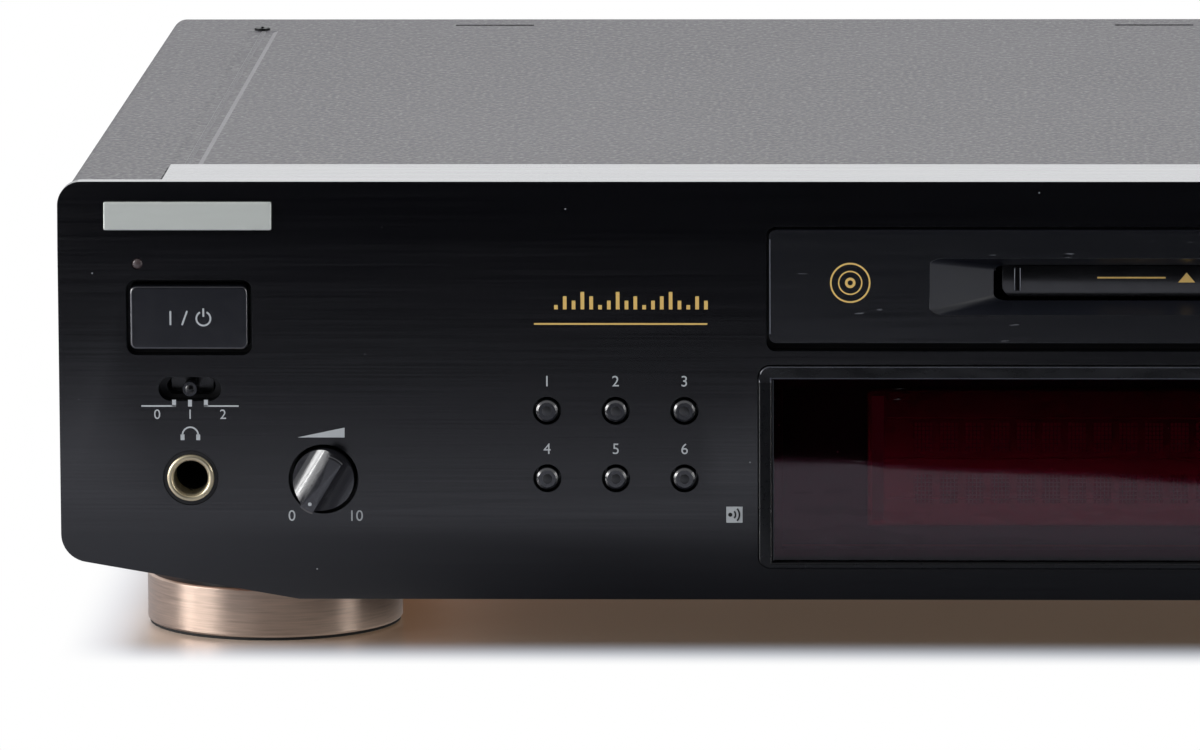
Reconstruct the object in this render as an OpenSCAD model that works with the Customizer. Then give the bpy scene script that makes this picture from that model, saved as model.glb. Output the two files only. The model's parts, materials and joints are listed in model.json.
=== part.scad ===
// A full-width minidisc deck: slot loading, display below the slot, round metal feet.
// X runs to the right, Y to the back and Z up; the origin is under the middle, on the table.

/* [Case] */
// Width of the front panel
panel_w = 430; // [424:1:450]
// Height of the front panel
panel_h = 80.6; // [80:0.1:90]
// Thickness of the front panel's face
panel_t = 4; // [3.5:0.5:6]
// Depth from the face of the panel to the back of the rear panel
body_d = 270; // [266:1:320]
// Gap from the table to the flat lower edge of the panel
ground_gap = 14.4; // [13:0.2:20]
// Sheet thickness of the cover, the pan and the rear panel
sheet_t = 1; // [0.8:0.1:1.2]
// Outside bend radius of the cover
cover_bend = 3; // [1.5:0.5:4]
// How far the cover's side lies inside the panel's end
cover_inset = 1.1; // [1:0.1:3]
// How far the cover's top lies under the panel's top
cover_step = 0.6; // [0.2:0.1:1]

/* [Front panel] */
// Radius of the two upper corners
top_corner_r = 4.5; // [2:0.5:8]
// Radius of the two lower corners
low_corner_r = 5.5; // [2:0.5:7]
// Rise of the slanted stretch of the lower edge
slant_rise = 8; // [6:0.5:12]
// Run of the slanted stretch of the lower edge
slant_run = 45.5; // [40:0.5:60]
// Height of the upper band that leans back
upper_band = 12.7; // [8:0.1:14]
// Height of the lower band that turns under
lower_band = 13.2; // [8:0.1:14]
// How far both bands fall back at the panel's edge
band_fall = 0.8; // [0.2:0.1:1.5]
// Depth of the panel's top flange, from the face
flange_d = 26; // [20:1:30]
// Thickness of the top flange
flange_t = 1.6; // [1.2:0.1:2]
// Distance of the flange's end from the panel's end
flange_inset = 19.8; // [16:0.1:24]

/* [Disc slot] */
// Width of the slot lid
lid_w = 158.8; // [154:0.2:160]
// Height of the slot lid
lid_h = 21.6; // [20:0.1:21.8]
// Height of the slot's centre line above the panel's lower edge
slot_up = 60.65; // [60:0.05:61.5]
// Width of the slot
slot_w = 73.5; // [73:0.1:76]
// Height of the slot
slot_h = 6.9; // [6.4:0.1:7.4]
// Depth of the funnel in front of the flap
funnel_d = 5.5; // [4.5:0.1:6]
// Reach of the funnel past each end of the slot
funnel_end = 12.2; // [8:0.1:14]
// Reach of the funnel above and below the slot
funnel_edge = 2; // [1:0.1:2.5]
// Width of the cartridge that the deck takes
cart_w = 72; // [71:0.1:72.4]
// Depth of the cartridge
cart_d = 68; // [66:0.5:70]
// Thickness of the cartridge
cart_t = 5; // [4.6:0.1:5.2]

/* [Display] */
// Width of the display frame
frame_w = 162.8; // [156:0.2:166]
// Height of the display frame
frame_h = 39; // [38:0.1:40]
// Height of the display frame's centre above the panel's lower edge
frame_up = 25.8; // [25.4:0.1:26.4]
// Width of the frame's bevel at the sides and at the top
bezel_side = 2.4; // [2:0.1:3]
// Width of the frame's bevel at the bottom
bezel_low = 1.1; // [1:0.1:1.6]
// How far the display frame stands in front of the panel
bezel_proud = 1.2; // [0.6:0.1:1.6]
// Width of the display tube
tube_w = 122; // [100:1:140]
// Height of the display tube
tube_h = 27; // [22:0.5:30]

/* [Keys] */
// Distance of the outer columns of controls from the panel's ends
column_set = 25; // [24:0.5:28]
// Distance between neighbouring columns of round keys
key_pitch = 13.1; // [10:0.1:14]
// Diameter of the round keys
round_key_d = 4.1; // [3.6:0.1:4.6]
// Gap round a round key in the panel
round_key_gap = 0.65; // [0.4:0.05:0.8]
// Travel of every key
key_travel = 0.6; // [0.3:0.1:0.8]
// How far a key stands in front of the panel
key_proud = 0.8; // [0.3:0.1:1.2]
// Gap between a key and the sub-panel that guides it
key_slack = 0.3; // [0.25:0.05:0.4]
// Width of the power key
power_w = 22.4; // [18:0.1:23]
// Height of the power key
power_h = 12.1; // [9:0.1:12.6]
// Height of the power key's centre above the panel's lower edge
power_up = 54.6; // [54:0.1:55.4]
// Gap beside the power key
power_gap_side = 0.8; // [0.5:0.1:1]
// Gap above and below the power key
power_gap_edge = 1.25; // [0.6:0.05:1.4]
// Width of a transport key
transport_w = 13; // [10:0.5:14]
// Height of a transport key
transport_h = 7; // [5:0.5:8]
// Width of the eject key
eject_w = 15; // [12:0.5:16]

/* [Knobs] */
// Diameter of the phones level knob
level_d = 11.7; // [10:0.1:12.4]
// Diameter of the record level knob
rec_d = 18; // [14:0.5:20]
// Reach of a knob's grip bar in front of its disc
grip_reach = 7; // [4:0.5:7.4]
// Lean of a knob's pointer from straight down at its low stop
knob_min = 31; // [20:1:45]
// Diameter of the jog dial
dial_d = 32; // [26:0.5:34]
// Reach of the jog dial in front of the panel
dial_reach = 9; // [8.5:0.5:12]
// Travel of the jog dial when it is pressed
dial_push = 0.5; // [0.3:0.1:0.6]
// Diameter of the knobs' shafts
shaft_d = 6; // [5:0.5:6.4]
// Running clearance of a shaft or a pin
run_fit = 0.05; // [0.03:0.01:0.08]
// Travel of a slide switch to each side of its middle
switch_travel = 3; // [2:0.5:3.5]

/* [Phones socket] */
// Bore of the phones socket
phones_bore = 6.5; // [6.4:0.05:6.7]
// Outside diameter of the bright bush
phones_bush_d = 9; // [8.4:0.1:9.4]
// Depth of the phones socket behind the face
phones_depth = 30.5; // [26:0.5:34]

/* [Feet] */
// Diameter of a foot
foot_d = 50.4; // [44:0.2:54]
// Height of the metal ring of a foot
foot_ring_h = 9.8; // [8:0.1:10.2]
// Thickness of the pad under a foot
foot_pad_h = 0.5; // [0.4:0.1:1]
// Distance of the feet from the panel's ends
foot_set = 36.9; // [33:0.1:43]
// Distance of the front feet behind the panel's face
foot_front = 59.3; // [58:0.1:66]
// Distance of the rear feet in front of the rear panel's back
foot_rear = 46; // [40:1:60]

/* [Mechanism] */
// Distance from the panel's face to the front of the disc holder
holder_set = 21.5; // [20.5:0.5:24]
// Drop of the disc holder when it loads
holder_drop = 4; // [3:0.5:4.2]
// Travel of the loading slider
loader_travel = 16; // [14:0.5:18]
// Travel of the pickup sled
sled_travel = 16; // [12:0.5:17]
// Diameter of the mechanism's guide pins
guide_pin_d = 2.4; // [2:0.1:2.8]
// Tooth module of the loading rack and gear
tooth_module = 0.8; // [0.7:0.05:0.9]
// Number of teeth of the loading gear
gear_teeth = 12; // [11:1:13]

/* [Rear] */
// Reach of the line jacks behind the rear panel
jack_reach = 6; // [5:0.5:9]
// Outside diameter of a line jack
jack_d = 8.3; // [8.2:0.05:8.4]
// Distance between neighbouring line jacks
jack_pitch = 14; // [12:0.5:16]

/* [Hidden] */
$fn = 64;

// Main planes
face_y = (dial_reach - body_d - jack_reach) / 2;
back_y = face_y + body_d;
panel_z = ground_gap;
panel_top = panel_z + panel_h;
panel_back = face_y + panel_t;
cover_top = panel_top - cover_step;
half_w = panel_w / 2;
cover_x = half_w - cover_inset;
// Everyday gap between pieces that only lie next to each other
gap = 0.3;

// Sub-panel
sub_t = 2.5;
sub_back = panel_back + sub_t;
tray_d = 18.5;
tray_back = panel_back + tray_d;
tray_wall = 2;
tray_side = cover_inset + sheet_t + 0.7;
tray_top = cover_step + sheet_t + gap;
tray_low = 1;
// End of the panel's top flange, from the centre line
flange_end_x = half_w - flange_inset;

// Key board, in front of which every switch and control body stands
board_set = 10;
board_y = sub_back + board_set;
board_t = 1.6;
board_low_up = 8;
board_high_up = 70;
board_half = half_w - 10;
board_notch_half = lid_w / 2 + 6.6;
board_notch_up = 46.6;
boss_r = 3;
low_bosses = [-half_w + 35, -half_w + 75, half_w - 35];

// Switch bodies
tact_w = 6;
tact_h = 3.5;
tact_tip = 1.1;
tact_tip_r = 1.75;
stem_r = 1.5;
stem_clear = 0.25;
stem_end = board_y - tact_h - tact_tip - key_travel - stem_clear;
key_flange_t = 1;
key_lip = 1.2;
key_front = face_y - key_proud;
key_corner = 1.2;
key_chamfer = 0.4;

// Places of the keys: distance from the centre line and height above the panel's lower edge
// Room between the display frame and the panel's end
side_w = half_w - frame_w / 2;
key_first = frame_w / 2 + 0.1063 * side_w;
key_x = [-key_first - 2 * key_pitch, -key_first - key_pitch, -key_first];
key_upper = 36.65;
key_lower = 23.6;
transport_first = frame_w / 2 + 0.1392 * side_w;
transport_pitch = transport_w + 4;
transport_x = [transport_first, transport_first + transport_pitch, transport_first + 2 * transport_pitch];
transport_upper = 30.5;
transport_lower = 17.5;
eject_x = frame_w / 2 + 0.1243 * side_w;
eject_h = 6;
menu_x = frame_w / 2 + 0.3039 * side_w;
yes_x = frame_w / 2 + 0.4536 * side_w;
left_col = half_w - column_set;
jog_x = left_col - 14;
jog_up = 51.6;
level_x = -left_col + 25.4;
level_up = 23.4;
record_x = (transport_x[2] + left_col) / 2 - 1;
record_up = 19.5;
timer_up = 40.8;
input_up = 19.5;
lamp_x = -half_w + 15.2;
lamp_up = 64.9;
phones_up = 23.6;
// Slot that the slide switches' studs stick out of
stud_r = 1.35;
slot_end = 6;
slot_half_h = 2.325;

// Disc slot
slot_z = panel_z + slot_up;
lid_proud = 0.5;
lid_front = face_y - lid_proud;
lid_gap = 0.55;
lid_gap_low = 1.7;
lid_corner = 1.2;
funnel_back = lid_front + funnel_d + 0.5;
funnel_wall = 2.5;
flap_t = 1.5;
flap_h = 6;
flap_side_gap = 1.65;
flap_low_gap = 0.6;
flap_pin_r = 0.8;
flap_y = funnel_back + gap + 0.7;
flap_z = slot_z + slot_h / 2 + 0.95;
flap_half = slot_w / 2 - flap_side_gap;

// Display
frame_z = panel_z + frame_up;
frame_gap = 0.25;
frame_corner = 2.15;
window_w = frame_w - 2 * bezel_side;
window_low = frame_z - frame_h / 2 + bezel_low;
window_high = frame_z + frame_h / 2 - bezel_side;
window_t = 2.7;
window_front = face_y + 0.3;
window_slack = 0.1;
ledge = 2;
tube_t = 6.8;
tube_z = frame_z + 0.2;

// Knobs
knob_slack = 0.85;
knob_proud = 0.6;
grip_w = 2.8;
pot_h = 6;
pot_w = 11;
high_bosses = [-half_w + 45, -half_w + 95, (yes_x + jog_x) / 2, board_half - 5];
dial_gap = dial_push + gap;

// Case
pan_low = 1.6;
pan_side = tray_side + 0.5;
pan_front = tray_back + gap;
pan_lip = 9;
pan_z = panel_z + pan_low;
floor_z = pan_z + sheet_t;
rear_y = back_y - sheet_t;
cover_low = panel_z + slant_rise + 3;
ear_gap = 0.6;
groove_out = half_w - 19.2;
groove_in = groove_out - 6.4;
groove_rib_out = groove_out - 2.7;
groove_rib_in = groove_out - 3.8;
groove_deep = 0.5;
rear_slot_l = 17;
rear_slot_w = 2;
rear_slot_x = 143;
rear_slot_set = 10;
rear_screw_x = half_w - 22;
rear_screw_set = 19.6;
rear_screw_r = 1;
rear_head_r = 1.7;
screw_r = 1.5;
screw_head_r = 3;
screw_head_h = 2;
side_screw_z = cover_low + 4;
side_screws = [60, 210];

// Feet
foot_x = half_w - foot_set;
foot_y = [face_y + foot_front, back_y - foot_rear];
neck_r = 19;
foot_seat = foot_pad_h + 5.5;
pad_r = foot_d / 2 - 0.4;

// Mechanism
holder_y = face_y + holder_set;
holder_wall = 1;
holder_slack = 0.5;
holder_half = cart_w / 2 + holder_slack;
holder_half_h = cart_t / 2 + gap;
holder_d = cart_d + 2;
disc_y = holder_y + holder_wall + cart_d / 2;
holder_lip = 4;
holder_out = holder_half + holder_wall;
window_half_y = 11;
front_pin_y = disc_y - 16;
rear_pin_y = disc_y + 24;
pin_r = guide_pin_d / 2;
slider_pins = [disc_y - 4, disc_y + 26];
slider_x = -holder_out - 1.9;
slider_t = 1.2;
wall_t = 1.2;
wall_gap = 0.5;
wall_x = slider_x - slider_t - wall_gap - wall_t;
right_wall_x = holder_out + 1.9;
base_top = 55.2 - 14.4 + ground_gap;
base_t = 1.2;
arm_pin_x = 44.5;
arm_pin_r = 1;
base_left = -47;
base_right = arm_pin_x + 1.5 + sled_travel + 4;
base_front = holder_y + 4;
base_back = disc_y + 39;
rod_z = base_top + 5;
rod_r = 1.5;
rod_set = 14;
screw_set = 20;
lens_x = 14.5;
leg_w = 10;
leg_x = [-42, base_right - 6];
leg_y = [base_front + 5, base_back - 5];
damper_h = 6;
damper_r = 6;
stud_h = 4;
slider_low = 62 - 14.4 + ground_gap;
slider_high = slot_z + 5;
pitch_r = tooth_module * gear_teeth / 2;
rack_add = 0.7 * tooth_module;
tooth_slack = 0.2;
gear_z = slider_high + rack_add + gap + pitch_r;
gear_y = disc_y + 8;
arm_z = slot_z + 8;
// Swing of the head arm when it lowers, and the lowest point that it then has over the right wall
arm_swing = 8;
arm_low = arm_z - 1.1 - (arm_pin_x + sled_travel - right_wall_x) * tan(arm_swing);
post_w = 10;

// Rear
main_board_z = floor_z + 7;
main_board_t = 1.6;
main_front = -20;
main_left = -60;
main_right = half_w - 15;
jack_x = 80;
jack_low = 11;
jack_edge = 8;
port_x = [20, 40];
port_w = 13;
port_h = 13;
inlet_x = -half_w + 45;
inlet_z = 42;
inlet_w = 24;
inlet_h = 14;
inlet_d = 16;

// ---------- helpers ----------

// Block between two opposite corners
module block(low, high) {
    translate(low) cube(high - low);
}

// Extrudes a shape drawn in X and Z between two depths
module along_y(y0, y1) {
    translate([0, y1, 0]) rotate([90, 0, 0]) linear_extrude(y1 - y0) children();
}

// Extrudes a shape drawn in Y and Z between two sides
module along_x(x0, x1) {
    translate([x0, 0, 0]) rotate([90, 0, 90]) linear_extrude(x1 - x0) children();
}

module rod_y(x, z, r, y0, y1) {
    translate([x, y0, z]) rotate([-90, 0, 0]) cylinder(h = y1 - y0, r = r);
}

module rod_x(y, z, r, x0, x1) {
    translate([x0, y, z]) rotate([0, 90, 0]) cylinder(h = x1 - x0, r = r);
}

module rod_z(x, y, r, z0, z1) {
    translate([x, y, z0]) cylinder(h = z1 - z0, r = r);
}

// Rectangle with round corners, about its centre
module round_rect(w, h, r) {
    square([w - 2 * r, h], center = true);
    square([w, h - 2 * r], center = true);
    for (sx = [-1, 1], sz = [-1, 1]) translate([sx * (w / 2 - r), sz * (h / 2 - r)]) circle(r);
}

// Stadium between two points, of radius r
module stadium(a, b, r) {
    run = b - a;
    translate(a) circle(r);
    translate(b) circle(r);
    translate(a) rotate(atan2(run[1], run[0])) translate([0, -r + 0.01]) square([norm(run), 2 * r - 0.02]);
}

// Front view of the case, drawn in by the three insets
module outline(side, top, low) {
    half = panel_w / 2 - side;
    lean = atan2(slant_rise, slant_run);
    z0 = panel_z + low;
    z1 = panel_top - top;
    edge_z = z0 + slant_rise - side * tan(lean);
    low_r = max(low_corner_r - side, 0.5);
    top_r = max(top_corner_r - side, 0.5);
    corner_z = edge_z + low_r * (1 - sin(lean)) / cos(lean);
    flat_x = panel_w / 2 - slant_run;
    for (s = [-1, 1]) {
        polygon([[0, z0], [s * flat_x, z0],
            [s * (half - low_r + low_r * sin(lean)), corner_z - low_r * cos(lean)],
            [s * half, corner_z], [s * half, z1 - top_r], [s * (half - top_r), z1], [0, z1]]);
        translate([s * (half - low_r), corner_z]) circle(low_r);
        translate([s * (half - top_r), z1 - top_r]) circle(top_r);
    }
}

// Places something at a height above the panel's lower edge
module at(x, up) {
    translate([x, 0, panel_z + up]) children();
}

// ---------- front ----------

// Side view of the panel's face, with both bands falling back
module face_profile() {
    polygon([[panel_back, panel_z], [face_y + band_fall, panel_z], [face_y, panel_z + lower_band],
        [face_y, panel_top - upper_band], [face_y + band_fall, panel_top], [panel_back, panel_top]]);
}

module front_panel() {
    color([0.07, 0.07, 0.08]) difference() {
        union() {
            intersection() {
                along_x(-panel_w / 2, panel_w / 2) face_profile();
                along_y(face_y, panel_back) outline(0, 0, 0);
            }
            block([-flange_end_x, panel_back - 0.5, panel_top - flange_t],
                [flange_end_x, face_y + flange_d, panel_top]);
        }
        panel_cuts();
    }
}

module panel_cuts() {
    y0 = face_y - 1;
    y1 = panel_back + 1;
    lid_cut_h = lid_h + lid_gap + lid_gap_low;
    along_y(y0, y1) translate([0, slot_z + (lid_gap - lid_gap_low) / 2])
        round_rect(lid_w + 2 * lid_gap, lid_cut_h, lid_corner + lid_gap);
    along_y(y0, y1) translate([0, frame_z])
        round_rect(frame_w + 2 * frame_gap, frame_h + 2 * frame_gap, frame_corner + frame_gap);
    at(-left_col, power_up) along_y(y0, y1)
        round_rect(power_w + 2 * power_gap_side, power_h + 2 * power_gap_edge, key_corner + power_gap_side);
    at(eject_x, slot_up) along_y(y0, y1)
        round_rect(eject_w + 2 * power_gap_side, eject_h + 2 * power_gap_side, key_corner + power_gap_side);
    for (x = transport_x, up = [transport_upper, transport_lower]) at(x, up) along_y(y0, y1)
        round_rect(transport_w + 2 * power_gap_side, transport_h + 2 * power_gap_side,
            key_corner + power_gap_side);
    round_hole_r = round_key_d / 2 + round_key_gap;
    for (x = key_x, up = [key_upper, key_lower]) rod_y(x, panel_z + up, round_hole_r, y0, y1);
    for (x = [menu_x, yes_x]) rod_y(x, slot_z, round_hole_r, y0, y1);
    at(-left_col, timer_up) along_y(y0, y1) slide_window();
    at(left_col, input_up) along_y(y0, y1) slide_window();
    rod_y(lamp_x, panel_z + lamp_up, 1.1, y0, y1);
    rod_y(-left_col, panel_z + phones_up, phones_bush_d / 2 + 0.8, y0, y1);
    rod_y(level_x, panel_z + level_up, level_d / 2 + knob_slack, y0, y1);
    rod_y(record_x, panel_z + record_up, rec_d / 2 + knob_slack, y0, y1);
    rod_y(jog_x, panel_z + jog_up, shaft_d / 2 + 1, y0, y1);
}

// Long slot of a slide switch in the panel
module slide_window() {
    stadium([-slot_end + slot_half_h, 0], [slot_end - slot_half_h, 0], slot_half_h);
}

module sub_panel() {
    color([0.09, 0.09, 0.09]) difference() {
        union() {
            along_y(panel_back, sub_back) outline(tray_side, tray_top, tray_low);
            along_y(sub_back - 0.1, tray_back) difference() {
                outline(tray_side, tray_top, tray_low);
                outline(tray_side + tray_wall, tray_top + tray_wall, tray_low + tray_wall);
            }
            along_y(face_y - bezel_proud, panel_back + 0.1) translate([0, frame_z])
                round_rect(frame_w, frame_h, frame_corner);
            rod_y(-left_col, panel_z + phones_up, phones_bush_d / 2 + 0.7, face_y + 0.2,
                panel_back + 0.1);
            for (x = low_bosses) rod_y(x, panel_z + board_low_up + 5, boss_r, sub_back - 0.1, board_y);
            for (x = high_bosses) rod_y(x, panel_z + board_high_up - 4, boss_r, sub_back - 0.1, board_y);
        }
        sub_cuts();
    }
}

module sub_cuts() {
    y0 = panel_back - 0.5;
    y1 = sub_back + 1;
    slack = 2 * key_slack;
    // seat of the display window, and the opening behind it
    along_y(face_y - 4, window_front + window_t) translate([0, (window_low + window_high) / 2])
        square([window_w, window_high - window_low], center = true);
    along_y(face_y, y1) translate([0, (window_low + window_high) / 2])
        square([window_w - 2 * ledge, window_high - window_low - 2 * ledge], center = true);
    // passage of the funnel, the flap and the cartridge
    along_y(y0, y1) translate([0, slot_z]) square([slot_w + 2 * funnel_end + 2, slot_h + 2 * funnel_edge + 4],
        center = true);
    at(-left_col, power_up) along_y(y0, y1) round_rect(power_w + slack, power_h + slack, key_corner);
    at(eject_x, slot_up) along_y(y0, y1) round_rect(eject_w + slack, eject_h + slack, key_corner);
    for (x = transport_x, up = [transport_upper, transport_lower]) at(x, up) along_y(y0, y1)
        round_rect(transport_w + slack, transport_h + slack, key_corner);
    round_hole_r = round_key_d / 2 + key_slack;
    for (x = key_x, up = [key_upper, key_lower]) rod_y(x, panel_z + up, round_hole_r, y0, y1);
    for (x = [menu_x, yes_x]) rod_y(x, slot_z, round_hole_r, y0, y1);
    at(-left_col, timer_up) along_y(y0, y1) stud_slot(gap);
    at(left_col, input_up) along_y(y0, y1) stud_slot(gap);
    rod_y(lamp_x, panel_z + lamp_up, 1.05, y0, y1);
    rod_y(-left_col, panel_z + phones_up, phones_bush_d / 2 + 0.05, face_y, y1);
    rod_y(level_x, panel_z + level_up, level_d / 2 + knob_slack / 2, y0, y1);
    rod_y(record_x, panel_z + record_up, rec_d / 2 + knob_slack / 2, y0, y1);
    rod_y(jog_x, panel_z + jog_up, shaft_d / 2 + 0.6, y0, y1);
}

// Slot that a slide switch's stud runs in
module stud_slot(slack) {
    stadium([-switch_travel, 0], [switch_travel, 0], stud_r + slack);
}

module display_window() {
    color([0.1, 0.02, 0.03, 0.8]) along_y(window_front, window_front + window_t - window_slack)
        translate([0, (window_low + window_high) / 2])
        square([window_w - 2 * window_slack, window_high - window_low - 2 * window_slack], center = true);
}

module display_tube() {
    color([0.25, 0.05, 0.08]) block([-tube_w / 2, board_y - tube_t, tube_z - tube_h / 2],
        [tube_w / 2, board_y, tube_z + tube_h / 2]);
}

// Lid with the funnel in front and the two lugs that carry the flap behind
module slot_lid() {
    lug_w = 2.4;
    color([0.05, 0.05, 0.06]) difference() {
        union() {
            along_y(lid_front, panel_back) translate([0, slot_z]) round_rect(lid_w, lid_h, lid_corner);
            along_y(panel_back, funnel_back) translate([0, slot_z])
                square([slot_w + 2 * funnel_end, slot_h + 2 * funnel_wall], center = true);
            for (s = [-1, 1]) translate([s * (flap_half + gap + 0.9 + lug_w / 2), 0, 0])
                block([-lug_w / 2, funnel_back, flap_z - 2.2], [lug_w / 2, flap_y + 2, flap_z + 1.4]);
        }
        funnel();
        rod_x(flap_y, flap_z, flap_pin_r + run_fit, -flap_half - 6, flap_half + 6);
    }
}

// Space of the funnel: wide in front, as wide as the slot behind
module funnel() {
    y0 = lid_front;
    y1 = lid_front + funnel_d;
    hw = slot_w / 2;
    hh = slot_h / 2;
    reach = hw + funnel_end;
    rise = hh + funnel_edge;
    intersection() {
        translate([0, 0, slot_z - 20]) linear_extrude(40)
            polygon([[-reach, y0 - 0.01], [reach, y0 - 0.01], [hw, y1], [-hw, y1]]);
        along_x(-reach, reach) polygon([[y0 - 0.01, slot_z - rise], [y1, slot_z - hh], [y1, slot_z + hh],
            [y0 - 0.01, slot_z + rise]]);
    }
    block([-hw, y1 - 0.1, slot_z - hh], [hw, funnel_back + 0.1, slot_z + hh]);
}

module slot_flap() {
    y0 = funnel_back + gap;
    low = slot_z - slot_h / 2 + flap_low_gap;
    ear_h = 1.3;
    color([0.06, 0.06, 0.07]) {
        block([-flap_half, y0, low], [flap_half, y0 + flap_t, low + flap_h]);
        for (s = [-1, 1]) translate([s * (flap_half - 1), 0, 0]) {
            block([-1, y0, low + flap_h - 0.1], [1, y0 + flap_t, flap_z]);
            rod_x(flap_y, flap_z, ear_h - 0.3, -1, 1);
        }
        for (s = [-1, 1]) translate([s * (flap_half + 0.9), 0, 0])
            rod_x(flap_y, flap_z, flap_pin_r, -1.8, 1.8);
    }
}

// ---------- keys and controls ----------

// Key with a flange behind the sub-panel and a stem that ends short of its switch
module key_body() {
    y_flange = sub_back + gap;
    rod_y(0, 0, stem_r, y_flange + key_flange_t - 0.1, stem_end);
}

module round_key(x, up) {
    y_flange = sub_back + gap;
    r = round_key_d / 2;
    color([0.1, 0.1, 0.11]) at(x, up) {
        translate([0, key_front, 0]) rotate([-90, 0, 0])
            cylinder(h = key_chamfer, r1 = r - key_chamfer, r2 = r);
        rod_y(0, 0, r, key_front + key_chamfer, y_flange);
        rod_y(0, 0, r + key_lip, y_flange, y_flange + key_flange_t);
        key_body();
    }
}

module flat_key(x, up, w, h) {
    y_flange = sub_back + gap;
    color([0.1, 0.1, 0.11]) at(x, up) {
        along_y(key_front, y_flange) round_rect(w, h, key_corner);
        along_y(y_flange, y_flange + key_flange_t) square([w + 2 * key_lip, h + 2 * key_lip], center = true);
        key_body();
    }
}

module power_key() { flat_key(-left_col, power_up, power_w, power_h); }
module eject_key() { flat_key(eject_x, slot_up, eject_w, eject_h); }
module play_key() { flat_key(transport_x[0], transport_upper, transport_w, transport_h); }
module pause_key() { flat_key(transport_x[1], transport_upper, transport_w, transport_h); }
module stop_key() { flat_key(transport_x[2], transport_upper, transport_w, transport_h); }
module rewind_key() { flat_key(transport_x[0], transport_lower, transport_w, transport_h); }
module forward_key() { flat_key(transport_x[1], transport_lower, transport_w, transport_h); }
module record_key() { flat_key(transport_x[2], transport_lower, transport_w, transport_h); }
module fader_key() { round_key(key_x[0], key_upper); }
module scroll_key() { round_key(key_x[1], key_upper); }
module display_key() { round_key(key_x[2], key_upper); }
module play_mode_key() { round_key(key_x[0], key_lower); }
module repeat_key() { round_key(key_x[1], key_lower); }
module time_key() { round_key(key_x[2], key_lower); }
module menu_key() { round_key(menu_x, slot_up); }
module yes_key() { round_key(yes_x, slot_up); }

// Stud, block and tongue of a slide switch
module slide_stud(x, up) {
    y_block = sub_back + gap;
    block_t = 2;
    color([0.12, 0.12, 0.13]) at(x, up) {
        rod_y(0, 0, stud_r, face_y - 0.4, y_block);
        block([-4, y_block, -2.4], [4, y_block + block_t, 2.4]);
        block([-1.5, y_block + block_t, -1.3], [1.5, board_y - 2.5, 1.3]);
    }
}

module timer_slider() { slide_stud(-left_col, timer_up); }
module input_slider() { slide_stud(left_col, input_up); }

// Knob with a grip bar; its pointer end lies at the low stop
module grip_knob(x, up, d) {
    r = d / 2;
    y0 = face_y - knob_proud;
    bar_l = d - 1.6;
    color([0.08, 0.08, 0.09]) at(x, up) difference() {
        union() {
            rod_y(0, 0, r, y0, sub_back + 1.5);
            rotate([0, knob_min, 0]) translate([0, 0, -0.8])
                block([-grip_w / 2, y0 - grip_reach, -bar_l / 2], [grip_w / 2, y0 + 0.1, bar_l / 2]);
        }
        rod_y(0, 0, shaft_d / 2 + run_fit, y0 + 1.5, sub_back + 2);
    }
}

module level_knob() { grip_knob(level_x, level_up, level_d); }
module record_knob() { grip_knob(record_x, record_up, rec_d); }

module knob_shaft(x, up) {
    color([0.7, 0.7, 0.7]) rod_y(x, panel_z + up, shaft_d / 2, face_y - knob_proud + 1.8, board_y - 1.5);
}

module level_shaft() { knob_shaft(level_x, level_up); }
module record_shaft() { knob_shaft(record_x, record_up); }

module jog_dial() {
    y0 = face_y - dial_reach;
    y1 = face_y - dial_gap;
    edge = 1;
    color([0.1, 0.1, 0.11]) difference() {
        union() {
            translate([jog_x, y0, panel_z + jog_up]) rotate([-90, 0, 0])
                cylinder(h = edge, r1 = dial_d / 2 - edge, r2 = dial_d / 2);
            rod_y(jog_x, panel_z + jog_up, dial_d / 2, y0 + edge, y1);
        }
        rod_y(jog_x, panel_z + jog_up, shaft_d / 2 + run_fit, y0 + 3, y1 + 1);
    }
}

module jog_shaft() {
    color([0.7, 0.7, 0.7]) rod_y(jog_x, panel_z + jog_up, shaft_d / 2, face_y - dial_reach + 3.3,
        board_y - 1 - dial_push);
}

module name_bar() {
    bar_x = -left_col - 0.1;
    bar_up = 74.1;
    bar_w = 32;
    bar_h = 5.4;
    bar_t = 1.2;
    lean = atan2(band_fall, upper_band);
    set = band_fall * (bar_up - (panel_h - upper_band)) / upper_band;
    color([0.8, 0.82, 0.8]) translate([bar_x, face_y + set, panel_z + bar_up]) rotate([-lean, 0, 0])
        translate([0, -bar_t / 2 - 0.02, 0]) cube([bar_w, bar_t, bar_h], center = true);
}

module standby_lamp() {
    color([0.4, 0.15, 0.12]) {
        rod_y(lamp_x, panel_z + lamp_up, 1, face_y + 0.2, board_y - 2);
        rod_y(lamp_x, panel_z + lamp_up, 1.6, board_y - 2, board_y);
    }
}

module phones_bush() {
    color([0.8, 0.68, 0.42]) difference() {
        rod_y(-left_col, panel_z + phones_up, phones_bush_d / 2, face_y - 0.6, sub_back);
        rod_y(-left_col, panel_z + phones_up, phones_bore / 2, face_y - 1, sub_back + 1);
    }
}

module phones_jack() {
    y1 = face_y + phones_depth;
    color([0.05, 0.05, 0.05]) difference() {
        at(-left_col, phones_up) block([-6.5, sub_back, -7], [6.5, y1 + 2, 7]);
        rod_y(-left_col, panel_z + phones_up, phones_bore / 2, sub_back - 1, y1);
    }
}

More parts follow.
